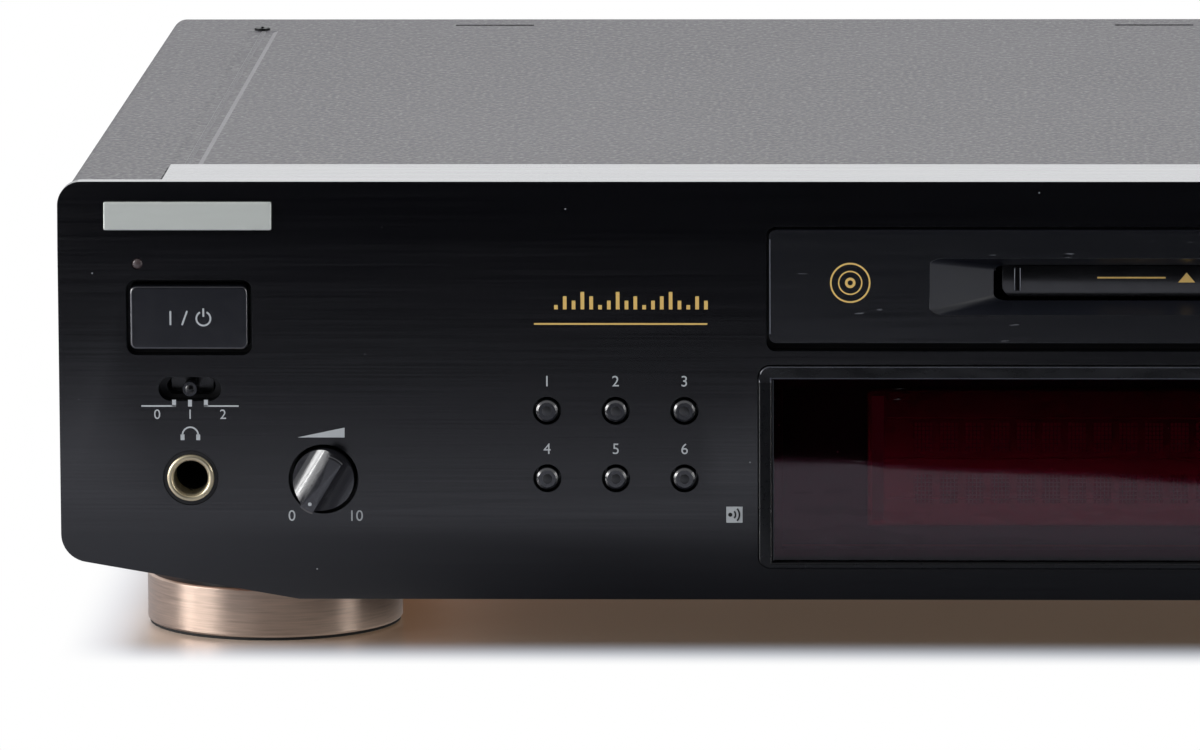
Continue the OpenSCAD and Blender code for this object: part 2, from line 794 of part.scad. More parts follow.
module key_board() {
    low = panel_z + board_low_up;
    high = panel_z + board_high_up;
    notch = panel_z + board_notch_up;
    color([0.15, 0.35, 0.2]) difference() {
        along_y(board_y, board_y + board_t) polygon([[-board_half, low + 3], [-board_half + 20, low],
            [board_half - 20, low], [board_half, low + 3], [board_half, high], [board_notch_half, high],
            [board_notch_half, notch], [-board_notch_half, notch], [-board_notch_half, high],
            [-board_half, high]]);
        at(-left_col, phones_up) block([-7.5, board_y - 1, -20], [7.5, board_y + 3, 8]);
    }
}

// One push switch on the board
module tact(x, up) {
    at(x, up) {
        block([-tact_w / 2, board_y - tact_h, -tact_w / 2], [tact_w / 2, board_y, tact_w / 2]);
        rod_y(0, 0, tact_tip_r, board_y - tact_h - tact_tip, board_y - tact_h);
    }
}

module key_switches() {
    color([0.2, 0.2, 0.22]) {
        tact(-left_col, power_up);
        tact(eject_x, slot_up);
        for (x = transport_x, up = [transport_upper, transport_lower]) tact(x, up);
        for (x = key_x, up = [key_upper, key_lower]) tact(x, up);
        for (x = [menu_x, yes_x]) tact(x, slot_up);
    }
}

// Body of a rotary control, with the bore that its shaft runs in
module pot(x, up) {
    difference() {
        at(x, up) block([-pot_w / 2, board_y - pot_h, -pot_w / 2], [pot_w / 2, board_y, pot_w / 2]);
        rod_y(x, panel_z + up, shaft_d / 2 + run_fit, board_y - pot_h - 1, board_y - 0.7);
    }
}

// Body of a slide switch, with the groove that its tongue runs in
module slide_switch(x, up) {
    half = switch_travel + 1.5 + gap;
    at(x, up) difference() {
        block([-8, board_y - 4.5, -3.5], [8, board_y, 3.5]);
        block([-half, board_y - 5, -1.6], [half, board_y - 2.2, 1.6]);
    }
}

module control_bodies() {
    color([0.35, 0.35, 0.37]) {
        pot(level_x, level_up);
        pot(record_x, record_up);
        pot(jog_x, jog_up);
        slide_switch(-left_col, timer_up);
        slide_switch(left_col, input_up);
    }
}

// ---------- case ----------

module chassis_pan() {
    color([0.6, 0.6, 0.62]) difference() {
        union() {
            along_y(pan_front, rear_y) intersection() {
                difference() {
                    outline(pan_side, tray_top, pan_low);
                    outline(pan_side + sheet_t, -1, pan_low + sheet_t);
                }
                translate([-panel_w, 0]) square([2 * panel_w, cover_low + pan_lip]);
            }
            block([-150, pan_front, floor_z], [150, pan_front + sheet_t, floor_z + 10]);
            for (x = leg_x, y = leg_y) rod_z(x, y, 5, floor_z, floor_z + stud_h);
            for (x = [main_left + 6, main_right - 14], y = [main_front + 6, rear_y - 12])
                rod_z(x, y, 3, floor_z, main_board_z);
        }
        for (s = [-1, 1], y = side_screws) translate([s * (panel_w / 2 - pan_side - 1), 0, 0])
            rod_x(face_y + y, side_screw_z, screw_r + run_fit, -3, 3);
        for (s = [-1, 1], y = foot_y)
            rod_z(s * foot_x, y, screw_r + run_fit, pan_z - 1, floor_z + slant_rise);
    }
}

// Side view of the cover's sheet
module cover_section() {
    difference() {
        cover_shape(cover_x, cover_top, cover_bend);
        cover_shape(cover_x - sheet_t, cover_top - sheet_t, cover_bend - sheet_t);
    }
}

module cover_shape(half, top, r) {
    translate([-half, cover_low]) square([2 * half, top - r - cover_low]);
    translate([-half + r, top - r - 0.01]) square([2 * (half - r), r + 0.01]);
    for (s = [-1, 1]) translate([s * (half - r), top - r]) circle(r);
}

module top_cover() {
    seam_y = face_y + flange_d + gap;
    ear_x = flange_end_x + ear_gap;
    tall = panel_top;
    color([0.38, 0.37, 0.39]) difference() {
        intersection() {
            along_y(panel_back + gap, back_y) intersection() {
                cover_section();
                translate([-panel_w, cover_low]) square([2 * panel_w, tall]);
            }
            // rounded rear corners, seen from above
            translate([0, (back_y + face_y) / 2, 0]) linear_extrude(2 * tall)
                round_rect(2 * cover_x, body_d, 3);
        }
        block([-ear_x, face_y, cover_low], [ear_x, seam_y, tall]);
        for (s = [-1, 1]) cover_groove(s);
        for (x = [-rear_slot_x, 0, rear_slot_x])
            block([x - rear_slot_l / 2, back_y - rear_slot_set - rear_slot_w, cover_top - 2],
                [x + rear_slot_l / 2, back_y - rear_slot_set, tall]);
        for (s = [-1, 1])
            rod_z(s * rear_screw_x, back_y - rear_screw_set, rear_screw_r + 0.2, cover_top - 2, tall);
        for (s = [-1, 1], y = side_screws) translate([s * cover_x, 0, 0])
            rod_x(face_y + y, side_screw_z, screw_r + 0.2, -2, 2);
    }
}

// Pressed groove along the cover, with a thin rib left in it
module cover_groove(s) {
    y0 = face_y + flange_d - 1;
    y1 = back_y - rear_screw_set - rear_head_r;
    z0 = cover_top - groove_deep;
    translate([s * (groove_out + groove_rib_out) / 2, (y0 + y1) / 2, z0])
        linear_extrude(2) square([groove_out - groove_rib_out, y1 - y0], center = true);
    translate([s * (groove_rib_in + groove_in) / 2, (y0 + y1) / 2, z0])
        linear_extrude(2) square([groove_rib_in - groove_in, y1 - y0], center = true);
}

module rear_panel() {
    inset = pan_side;
    lug = rear_screw_set + 6;
    color([0.16, 0.16, 0.17]) difference() {
        union() {
            along_y(rear_y, back_y) difference() {
                outline(inset, tray_top, pan_low);
                for (x = port_x) translate([x, port_z()]) square([port_w + 0.4, port_h + 0.4], center = true);
            }
            for (s = [-1, 1]) block([s * rear_screw_x - 8, back_y - lug, cover_top - 2 * sheet_t - 0.05],
                [s * rear_screw_x + 8, rear_y + 0.1, cover_top - sheet_t - 0.05]);
        }
        translate([inlet_x, 0, 0]) block([-inlet_w / 2 - 0.1, rear_y - 1, inlet_z - inlet_h / 2 - 0.1],
            [inlet_w / 2 + 0.1, back_y + 1, inlet_z + inlet_h / 2 + 0.1]);
        block([jack_x - jack_edge - 0.1, rear_y - 1, board_top() - 0.1],
            [jack_place_x(1) + jack_edge + 0.1, back_y + 1, jack_place_z(1) + jack_edge + 0.1]);
        for (s = [-1, 1]) rod_z(s * rear_screw_x, back_y - rear_screw_set, rear_screw_r + run_fit,
            cover_top - 5, cover_top);
    }
}

module case_screws() {
    color([0.1, 0.1, 0.1]) {
        for (s = [-1, 1]) translate([s * rear_screw_x, back_y - rear_screw_set, cover_top])
            pan_head(rear_head_r, rear_screw_r, 4);
        for (s = [-1, 1], y = side_screws) translate([s * cover_x, face_y + y, side_screw_z])
            rotate([0, s * 90, 0]) pan_head(screw_head_r, screw_r, 5);
    }
    color([0.7, 0.7, 0.7]) for (s = [-1, 1], y = foot_y) translate([s * foot_x, y, 0]) {
        rod_z(0, 0, screw_head_r, foot_seat - screw_head_h, foot_seat);
        rod_z(0, 0, screw_r, foot_seat, floor_z + 6);
    }
}

// Low head that stays inside the width and height of the front panel
module pan_head(head_r, shank_r, length) {
    low_head = min(cover_step, cover_inset) - 0.1;
    rod_z(0, 0, head_r, 0, low_head);
    rod_z(0, 0, shank_r, -length, 0);
}

function foot_ring_top() = foot_pad_h + foot_ring_h;

// The neck above the ring is cut to the slope of the pan that it stands under
module foot_rings() {
    edge = 0.4;
    color([0.62, 0.54, 0.48]) for (s = [-1, 1], y = foot_y) difference() {
        translate([s * foot_x, y, 0]) {
            translate([0, 0, foot_pad_h]) cylinder(h = edge, r1 = foot_d / 2 - edge, r2 = foot_d / 2);
            rod_z(0, 0, foot_d / 2, foot_pad_h + edge, foot_ring_top() - edge);
            translate([0, 0, foot_ring_top() - edge])
                cylinder(h = edge, r1 = foot_d / 2, r2 = foot_d / 2 - edge);
            rod_z(0, 0, neck_r, foot_ring_top() - 0.1, pan_z + slant_rise);
        }
        along_y(y - foot_d, y + foot_d) outline(pan_side, tray_top, pan_low);
        rod_z(s * foot_x, y, screw_head_r + gap, -1, foot_seat);
        rod_z(s * foot_x, y, screw_r + run_fit, 0, pan_z + slant_rise);
    }
}

module foot_pads() {
    color([0.08, 0.08, 0.08]) for (s = [-1, 1], y = foot_y) rod_z(s * foot_x, y, pad_r, 0, foot_pad_h);
}

// ---------- inside ----------

module main_board() {
    color([0.15, 0.35, 0.2]) block([main_left, main_front, main_board_z],
        [main_right, rear_y - 2, main_board_z + main_board_t]);
}

function board_top() = main_board_z + main_board_t;

module board_parts() {
    z = board_top();
    color([0.2, 0.2, 0.22]) {
        for (x = [main_right - 80, main_right - 50]) block([x, 20, z], [x + 18, 38, z + 3]);
        block([60, 40, z], [80, 60, z + 3]);
        for (x = [-40, -20, 0]) rod_z(x, 20, 8, z, z + 25);
        for (x = [main_right - 80, main_right - 60, main_right - 40]) rod_z(x, 70, 5, z, z + 12);
        block([-50, 50, z], [-10, 54, z + 30]);
    }
}

module transformer() {
    x = -half_w + 80;
    y = 60;
    color([0.45, 0.42, 0.38]) {
        block([x - 33, y - 12, floor_z], [x + 33, y + 12, floor_z + 56]);
        block([x - 20, y - 26, floor_z + 12], [x + 20, y - 12, floor_z + 44]);
        block([x - 20, y + 12, floor_z + 12], [x + 20, y + 26, floor_z + 44]);
    }
}

function jack_place_x(i) = jack_x + i * jack_pitch;
function jack_place_z(j) = board_top() + jack_low + j * jack_pitch;
function port_z() = board_top() + port_h / 2 + 0.3;

module line_jacks() {
    pin_bore = 1.7;
    color([0.1, 0.1, 0.1]) difference() {
        union() {
            block([jack_x - jack_edge, rear_y - 12, board_top()],
                [jack_place_x(1) + jack_edge, back_y, jack_place_z(1) + jack_edge]);
            for (i = [0, 1], j = [0, 1])
                rod_y(jack_place_x(i), jack_place_z(j), jack_d / 2, back_y - 0.1, back_y + jack_reach);
        }
        for (i = [0, 1], j = [0, 1]) rod_y(jack_place_x(i), jack_place_z(j), pin_bore,
            back_y + jack_reach - 9, back_y + jack_reach + 1);
    }
}

module optical_ports() {
    cavity = 8.6;
    color([0.06, 0.06, 0.06]) for (x = port_x) translate([x, 0, port_z()]) difference() {
        block([-port_w / 2, rear_y - 10, -port_h / 2 - 0.3], [port_w / 2, back_y + 1, port_h / 2]);
        block([-cavity / 2, rear_y - 7, -cavity / 2], [cavity / 2, back_y + 2, cavity / 2]);
    }
}

// Two-pin inlet for a detachable lead
module power_inlet() {
    pin_x = 4.3;
    pin_r_in = 1.2;
    cavity_w = 15.6;
    cavity_h = 8;
    color([0.06, 0.06, 0.06]) translate([inlet_x, 0, inlet_z]) {
        difference() {
            union() {
                block([-inlet_w / 2, back_y - inlet_d, -inlet_h / 2], [inlet_w / 2, back_y, inlet_h / 2]);
                block([-inlet_w / 2 - 1.5, back_y, -inlet_h / 2 - 1.5], [inlet_w / 2 + 1.5, back_y + 1.5,
                    inlet_h / 2 + 1.5]);
            }
            along_y(back_y - inlet_d + 3, back_y + 2) stadium([-cavity_w / 2 + cavity_h / 2, 0],
                [cavity_w / 2 - cavity_h / 2, 0], cavity_h / 2);
        }
        for (s = [-1, 1]) rod_y(s * pin_x, 0, pin_r_in, back_y - inlet_d + 2, back_y - 1);
    }
}

// ---------- disc mechanism ----------

module mech_base() {
    z0 = base_top - base_t;
    wall_top = slot_z + 5.45;
    color([0.7, 0.7, 0.7]) difference() {
        union() {
            block([base_left, base_front, z0], [base_right, base_back, base_top]);
            // left wall, with the ear that carries the loading gear and its motor
            block([wall_x, base_front, base_top], [wall_x + wall_t, base_back, wall_top]);
            block([wall_x, gear_y - 8, wall_top], [wall_x + wall_t, gear_y + 8, gear_z + 4]);
            // right wall, low at the sled's passage
            block([right_wall_x, base_front, base_top], [right_wall_x + wall_t, base_back, wall_top]);
            // lugs of the guide rods and of the lead screw
            for (x = [rod_lug_x(), base_right - 2.5]) for (s = [-1, 1])
                block([x, disc_y + s * rod_set - 3, base_top],
                    [x + 2.5, disc_y + s * rod_set + 3, rod_z + 3]);
            block([base_right - 2.5, disc_y - screw_set - 3, base_top],
                [base_right, disc_y - screw_set + 3, rod_z + 3]);
            // pins that guide the loading slider
            for (y = slider_pins) rod_x(y, guide_pin_z(), pin_r, wall_x + wall_t - 0.1, slider_x + 0.6);
            for (x = leg_x, y = leg_y)
                block([x - leg_w / 2, y - leg_w / 2, floor_z + stud_h + damper_h],
                    [x + leg_w / 2, y + leg_w / 2, z0 + 0.1]);
        }
        // upright slots for the holder's pins
        for (y = [front_pin_y, rear_pin_y]) along_x(wall_x - 1, right_wall_x + 3)
            stadium([y, slot_z], [y, slot_z - holder_drop], pin_r + gap);
        // passage of the head arm over the right wall
        block([right_wall_x - 1, disc_y - post_w / 2 - 2.6, arm_low - 0.5],
            [right_wall_x + 3, disc_y + post_w / 2 + 2.6, wall_top + 1]);
        // passage of the sled under the right wall
        block([right_wall_x - 1, disc_y - rod_set - 4, base_top + 0.01],
            [right_wall_x + 3, disc_y + rod_set + 4, base_top + 11]);
        block([right_wall_x - 1, disc_y - screw_set - 2.5, base_top + 0.01],
            [right_wall_x + 3, disc_y - rod_set, base_top + 8]);
        for (s = [-1, 1]) rod_x(disc_y + s * rod_set, rod_z, rod_r + 0.02, rod_lug_x() - 1, base_right + 1);
        rod_x(disc_y - screw_set, rod_z, 1 + run_fit, base_right - 5, base_right + 1);
        rod_x(gear_y, gear_z, 1.5 + run_fit, wall_x - 1, wall_x + wall_t + 1);
    }
}

function rod_lug_x() = 2;
function guide_pin_z() = slider_low + 3;

module mech_dampers() {
    color([0.15, 0.15, 0.15]) for (x = leg_x, y = leg_y)
        rod_z(x, y, damper_r, floor_z + stud_h, floor_z + stud_h + damper_h);
}

module mech_motors() {
    motor_r = 7;
    sled_motor_r = 5;
    color([0.55, 0.55, 0.57]) {
        difference() {
            rod_z(0, disc_y, 8, base_top, base_top + 9);
            rod_z(0, disc_y, 1 + run_fit, base_top + 1, base_top + 10);
        }
        difference() {
            rod_x(disc_y - screw_set, rod_z, sled_motor_r, -16, rod_lug_x() - 0.5);
            rod_x(disc_y - screw_set, rod_z, rod_r + run_fit, -2.5, 5);
        }
        difference() {
            rod_x(gear_y, gear_z, motor_r, wall_x - 18, wall_x);
            rod_x(gear_y, gear_z, 1.5 + run_fit, wall_x - 5, wall_x + 1);
        }
    }
}

module guide_rods() {
    color([0.8, 0.8, 0.82]) for (s = [-1, 1])
        rod_x(disc_y + s * rod_set, rod_z, rod_r, rod_lug_x(), base_right);
}

module turntable() {
    hub_z = slot_z - cart_t / 2 - holder_drop;
    color([0.75, 0.75, 0.77]) {
        rod_z(0, disc_y, 1, base_top + 1.5, base_top + 9.5);
        rod_z(0, disc_y, 9, base_top + 9.5, hub_z + 0.9);
        rod_z(0, disc_y, 2, hub_z + 0.9, hub_z + 2.2);
    }
}

module disc_holder() {
    low = slot_z - holder_half_h;
    high = slot_z + holder_half_h;
    back = holder_y + holder_d + holder_wall;
    color([0.75, 0.75, 0.77]) difference() {
        union() {
            difference() {
                block([-holder_out, holder_y, low - holder_wall], [holder_out, back, high + holder_wall]);
                block([-holder_half, holder_y - 1, low], [holder_half, back - holder_wall, high]);
                block([-holder_half + holder_lip, holder_y - 1, low - 2],
                    [holder_half - holder_lip, back - holder_wall, low + 1]);
            }
            for (y = [front_pin_y, rear_pin_y]) {
                rod_x(y, slot_z, pin_r, wall_x - 0.6, -holder_half - 0.1);
                rod_x(y, slot_z, pin_r, holder_half + 0.1, right_wall_x + wall_t + 0.6);
            }
        }
        // window for the head above and the lens below
        block([4, disc_y - window_half_y, low - 3], [holder_out + 1, disc_y + window_half_y, high + 3]);
    }
}

module loading_slider() {
    y0 = disc_y - 36;
    y1 = disc_y + 31;
    slack = pin_r + gap;
    slope = [-loader_travel, -holder_drop];
    color([0.85, 0.85, 0.85]) difference() {
        union() {
            block([slider_x - slider_t, y0, slider_low], [slider_x, y1, slider_high]);
            along_x(slider_x - slider_t, slider_x) rack();
        }
        for (y = [front_pin_y, rear_pin_y]) along_x(slider_x - 3, slider_x + 3)
            stadium([y, slot_z], [y + slope[0], slot_z + slope[1]], slack);
        for (y = slider_pins) along_x(slider_x - 3, slider_x + 3)
            stadium([y, guide_pin_z()], [y - loader_travel, guide_pin_z()], slack);
    }
}

// Rack teeth on the slider's upper edge
module rack() {
    pitch = PI * tooth_module;
    line_z = gear_z - pitch_r;
    tip_z = line_z + rack_add;
    root_z = slider_high - 0.1;
    half = pitch / 4 - tooth_slack / 2;
    slope = tan(20);
    count = ceil((loader_travel + 8) / pitch);
    for (i = [-count : 3]) translate([gear_y + i * pitch, 0])
        polygon([[-half - (line_z - root_z) * slope, root_z], [half + (line_z - root_z) * slope, root_z],
            [half - rack_add * slope, tip_z], [-half + rack_add * slope, tip_z]]);
}

// Point of an involute that starts on a circle of radius r, unrolled by an angle in degrees
function involute(r, a) = [r * (cos(a) + a * PI / 180 * sin(a)), r * (sin(a) - a * PI / 180 * cos(a))];
function turned(p, a) = [p[0] * cos(a) - p[1] * sin(a), p[0] * sin(a) + p[1] * cos(a)];

// One gear tooth pointing along +X
module gear_tooth() {
    base_r = pitch_r * cos(20);
    tip_r = pitch_r + 0.85 * tooth_module;
    roll_tip = sqrt(pow(tip_r / base_r, 2) - 1) * 180 / PI;
    half = 90 / gear_teeth - tooth_slack / 4 / pitch_r * 180 / PI + (tan(20) * 180 / PI - 20);
    flank = [for (i = [0 : 4]) turned(involute(base_r, roll_tip * i / 4), -half)];
    mirrored = [for (i = [4 : -1 : 0]) [flank[i][0], -flank[i][1]]];
    polygon(concat([[0, 0]], flank, mirrored));
}

module loading_gear() {
    root_r = pitch_r - 1.05 * tooth_module;
    color([0.9, 0.9, 0.85]) {
        along_x(slider_x - slider_t - 0.2, slider_x + 0.5) translate([gear_y, gear_z]) {
            circle(root_r);
            for (i = [0 : gear_teeth - 1]) rotate(-90 + 180 / gear_teeth + i * 360 / gear_teeth) gear_tooth();
        }
        rod_x(gear_y, gear_z, 1.5, wall_x - 4.5, slider_x - slider_t);
    }
}

// Sled with the lens, the nut beside the lead screw and the post of the head arm
module pickup_sled() {
    z0 = base_top + 1.8;
    z1 = base_top + 9.3;
    color([0.3, 0.3, 0.33]) difference() {
        union() {
            block([10, disc_y - rod_set - 3, z0], [46, disc_y + rod_set + 3, z1]);
            rod_z(lens_x, disc_y, 4, z1, slot_z - cart_t / 2 - holder_drop - 0.1);
            block([20, disc_y - screw_set + rod_r + gap, rod_z - 1.5],
                [32, disc_y - rod_set - 2.9, rod_z + 1.5]);
            block([arm_pin_x - 1.5, disc_y - post_w / 2, z1 - 0.1],
                [arm_pin_x + 1.5, disc_y + post_w / 2, arm_z + 1.8]);
        }
        for (s = [-1, 1]) rod_x(disc_y + s * rod_set, rod_z, rod_r + run_fit, 9, 47);
        rod_y(arm_pin_x, arm_z, arm_pin_r + run_fit, disc_y - post_w, disc_y + post_w);
    }
}

// Arm that carries the magnetic head over the disc, hinged on the sled's post
module head_arm() {
    ear = post_w / 2 + 0.4;
    ear_t = 1.2;
    reach = arm_pin_x - 3.5;
    color([0.6, 0.6, 0.62]) {
        block([lens_x - 3.5, disc_y - ear - ear_t, arm_z - 1], [reach, disc_y + ear + ear_t, arm_z + 0.5]);
        block([lens_x - 2.5, disc_y - 3, arm_z - 3.4], [lens_x + 2.5, disc_y + 3, arm_z - 0.9]);
        for (s = [-1, 1]) translate([0, disc_y + s * (ear + ear_t / 2), 0])
            block([reach - 0.1, -ear_t / 2, arm_z - 1], [arm_pin_x + 2, ear_t / 2, arm_z + 1.6]);
        rod_y(arm_pin_x, arm_z, arm_pin_r, disc_y - ear - 0.1, disc_y + ear + 0.1);
    }
}

module lead_screw() {
    color([0.8, 0.8, 0.82]) {
        rod_x(disc_y - screw_set, rod_z, rod_r, -2, base_right - 2.8);
        rod_x(disc_y - screw_set, rod_z, 1, base_right - 2.9, base_right);
    }
}

front_panel();
sub_panel();
slot_lid();
slot_flap();
display_window();
display_tube();
key_board();
key_switches();
control_bodies();
name_bar();
standby_lamp();
phones_bush();
phones_jack();
power_key();
timer_slider();
level_knob();
level_shaft();
fader_key();
scroll_key();
display_key();
play_mode_key();
repeat_key();
time_key();
eject_key();
menu_key();
yes_key();
play_key();
pause_key();
stop_key();
rewind_key();
forward_key();
record_key();
record_knob();
record_shaft();
input_slider();
jog_dial();
jog_shaft();
chassis_pan();
top_cover();
rear_panel();
case_screws();
foot_rings();
foot_pads();
main_board();
board_parts();
transformer();
line_jacks();
optical_ports();
power_inlet();
mech_base();
mech_dampers();
mech_motors();
disc_holder();
loading_slider();
loading_gear();
turntable();
pickup_sled();
head_arm();
guide_rods();
lead_screw();
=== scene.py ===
"""The looks of a full-width minidisc deck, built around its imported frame."""
import json
from itertools import product
from math import cos, pi, radians, sin

import bmesh
import bpy
from bpy.props import FloatProperty, FloatVectorProperty, PointerProperty
from mathutils import Matrix, Vector


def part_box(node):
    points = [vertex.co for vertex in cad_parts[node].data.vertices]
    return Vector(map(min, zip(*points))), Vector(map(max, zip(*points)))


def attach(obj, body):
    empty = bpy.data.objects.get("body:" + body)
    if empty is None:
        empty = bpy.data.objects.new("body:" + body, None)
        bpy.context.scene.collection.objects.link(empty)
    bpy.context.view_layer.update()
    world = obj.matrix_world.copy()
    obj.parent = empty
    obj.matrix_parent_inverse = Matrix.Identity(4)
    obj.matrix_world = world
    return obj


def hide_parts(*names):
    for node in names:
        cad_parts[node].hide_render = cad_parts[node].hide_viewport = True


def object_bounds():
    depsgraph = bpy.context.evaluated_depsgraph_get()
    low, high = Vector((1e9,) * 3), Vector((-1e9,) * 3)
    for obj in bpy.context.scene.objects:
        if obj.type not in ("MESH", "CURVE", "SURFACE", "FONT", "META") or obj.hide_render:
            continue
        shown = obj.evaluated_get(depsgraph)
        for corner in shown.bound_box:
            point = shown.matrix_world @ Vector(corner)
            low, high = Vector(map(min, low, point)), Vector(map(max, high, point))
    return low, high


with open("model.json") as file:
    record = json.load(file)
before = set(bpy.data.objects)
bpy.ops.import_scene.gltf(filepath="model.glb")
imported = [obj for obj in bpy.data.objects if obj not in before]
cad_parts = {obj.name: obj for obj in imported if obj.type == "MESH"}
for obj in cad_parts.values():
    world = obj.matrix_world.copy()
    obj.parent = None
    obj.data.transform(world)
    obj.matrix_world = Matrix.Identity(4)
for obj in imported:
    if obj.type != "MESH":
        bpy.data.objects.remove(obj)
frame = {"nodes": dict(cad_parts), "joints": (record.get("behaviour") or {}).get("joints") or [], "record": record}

bl_info = {
    "name": "Minidisc deck",
    "version": (1, 0, 0),
    "blender": (4, 5, 0),
    "location": "View3D > Sidebar > Deck",
    "description": "Builds the visible pieces and finishes of a slot-loading minidisc deck",
    "category": "Object",
}

CAD_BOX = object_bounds()
MM = 0.001
SLOTS = {row["node"]: row["material_slot"] for row in frame["record"]["subparts"]}
BODIES = {node: body for body, nodes in frame["record"]["behaviour"]["bodies"].items() for node in nodes}
# the round keys, in the order of their numerals
ROUND_KEYS = ("fader_key", "scroll_key", "display_key", "play_mode_key", "repeat_key", "time_key", "menu_key",
              "yes_key")
FLAT_KEYS = ("power_key", "eject_key", "play_key", "pause_key", "stop_key", "rewind_key", "forward_key",
             "record_key")
SLIDERS = ("timer_slider", "input_slider")


def centre(node):
    """Middle of a node's box, in metres."""
    low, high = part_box(node)
    return (low + high) / 2


FACE, PANEL_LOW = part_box("front_panel")[0].yz
PANEL_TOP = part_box("front_panel")[1].z
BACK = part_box("top_cover")[1].y
LEFT, RIGHT = CAD_BOX[0][0], CAD_BOX[1][0]
INK = FACE - 0.02 * MM  # plane of the printed marks


# ---------- materials ----------

def linear(text):
    """A colour written as sRGB hex, as the linear colour that a shader takes."""
    parts = [int(text[i:i + 2], 16) / 255 for i in (1, 3, 5)]
    return tuple(p / 12.92 if p <= 0.04045 else ((p + 0.055) / 1.055) ** 2.4 for p in parts) + (1.0,)


def add_node(tree, kind, inputs=None, **settings):
    """Adds a node with its settings, and sets or links its inputs."""
    made = tree.nodes.new(kind)
    for name, value in settings.items():
        setattr(made, name, value)
    for name, value in (inputs or {}).items():
        if isinstance(value, bpy.types.NodeSocket):
            tree.links.new(value, made.inputs[name])
        else:
            made.inputs[name].default_value = value
    return made


def empty_tree(owner):
    """Gives a material or a world a node tree with nothing in it."""
    owner.use_nodes = True
    owner.node_tree.nodes.clear()
    return owner.node_tree


def pattern(tree, size_mm, kind="ShaderNodeTexNoise", **more):
    """A pattern whose features have this size in real millimetres: one number, or one along X, Y and Z."""
    sizes = (size_mm,) * 3 if isinstance(size_mm, (int, float)) else size_mm
    place = add_node(tree, "ShaderNodeTexCoord")
    stretch = add_node(tree, "ShaderNodeMapping", {
        "Vector": place.outputs["Object"], "Scale": tuple(1 / (s * MM) for s in sizes)})
    return add_node(tree, kind, {"Vector": stretch.outputs["Vector"], "Scale": 1.0, **more})


def spread(tree, source, low, high, start=0.3, end=0.7, **settings):
    """Maps a range of a pattern or a place to a range of a shader's value."""
    return add_node(tree, "ShaderNodeMapRange", {
        "Value": source, "From Min": start, "From Max": end, "To Min": low, "To Max": high},
        **settings).outputs["Result"]


def tint(tree, source, first, second, start=0.3, end=0.7):
    """Goes from one colour to another as a pattern rises."""
    share = spread(tree, source, 0.0, 1.0, start, end)
    return add_node(tree, "ShaderNodeMix", {0: share, 6: first, 7: second}, data_type="RGBA").outputs[2]


def finish(name, colour, second, rough, grain_mm, bump_mm=0.0, metal=0.0, coat=0.0, coat_rough=0.1,
           specular=0.5, ior=1.5, marks=None, patch_mm=60, aniso=0.0, mottle=0.0, specks=None):
    """A finish with a fine grain in its gloss and relief, and a slow change of colour over larger patches."""
    material = bpy.data.materials.new(name)
    tree = empty_tree(material)
    grain = pattern(tree, grain_mm, Detail=3.0)
    bloom = pattern(tree, patch_mm, Detail=2.0)
    base = tint(tree, bloom.outputs["Fac"], linear(colour), linear(second))
    roughness = spread(tree, grain.outputs["Fac"], rough[0], rough[1])
    if mottle:
        # each grain is a little lighter or darker than the next
        base = add_node(tree, "ShaderNodeVectorMath", {
            "Vector": base, "Scale": spread(tree, grain.outputs["Fac"], 1 - mottle, 1 + mottle)},
            operation="SCALE").outputs["Vector"]
    if specks:
        base = dusted(tree, base, *specks)
    if marks:
        # scuffs: a few long faint hairs that are lighter and duller than the surface
        hairs = pattern(tree, marks["size_mm"], Detail=1.0)
        share = spread(tree, hairs.outputs["Fac"], 0.0, marks["strength"], marks["start"], marks["start"] + 0.05)
        base = add_node(tree, "ShaderNodeMix", {0: share, 6: base, 7: linear(marks["colour"])},
                        data_type="RGBA").outputs[2]
    shader = add_node(tree, "ShaderNodeBsdfPrincipled", {
        "Base Color": base, "Roughness": roughness, "Metallic": metal, "Coat Weight": coat,
        "Coat Roughness": coat_rough, "Specular IOR Level": specular, "IOR": ior,
        "Anisotropic": aniso, "Anisotropic Rotation": 0.25})
    if bump_mm:
        relief = add_node(tree, "ShaderNodeBump", {
            "Height": grain.outputs["Fac"], "Distance": bump_mm * MM, "Strength": 1.0})
        tree.links.new(relief.outputs["Normal"], shader.inputs["Normal"])
    add_node(tree, "ShaderNodeOutputMaterial", {"Surface": shader.outputs["BSDF"]})
    return material


def dusted(tree, base, cell_mm, radius_mm, colour):
    """Strews small specks of dust over a colour."""
    cells = pattern(tree, cell_mm, "ShaderNodeTexVoronoi")
    share = spread(tree, cells.outputs["Distance"], 1.0, 0.0, 0.7 * radius_mm / cell_mm, radius_mm / cell_mm)
    return add_node(tree, "ShaderNodeMix", {0: share, 6: base, 7: linear(colour)}, data_type="RGBA").outputs[2]


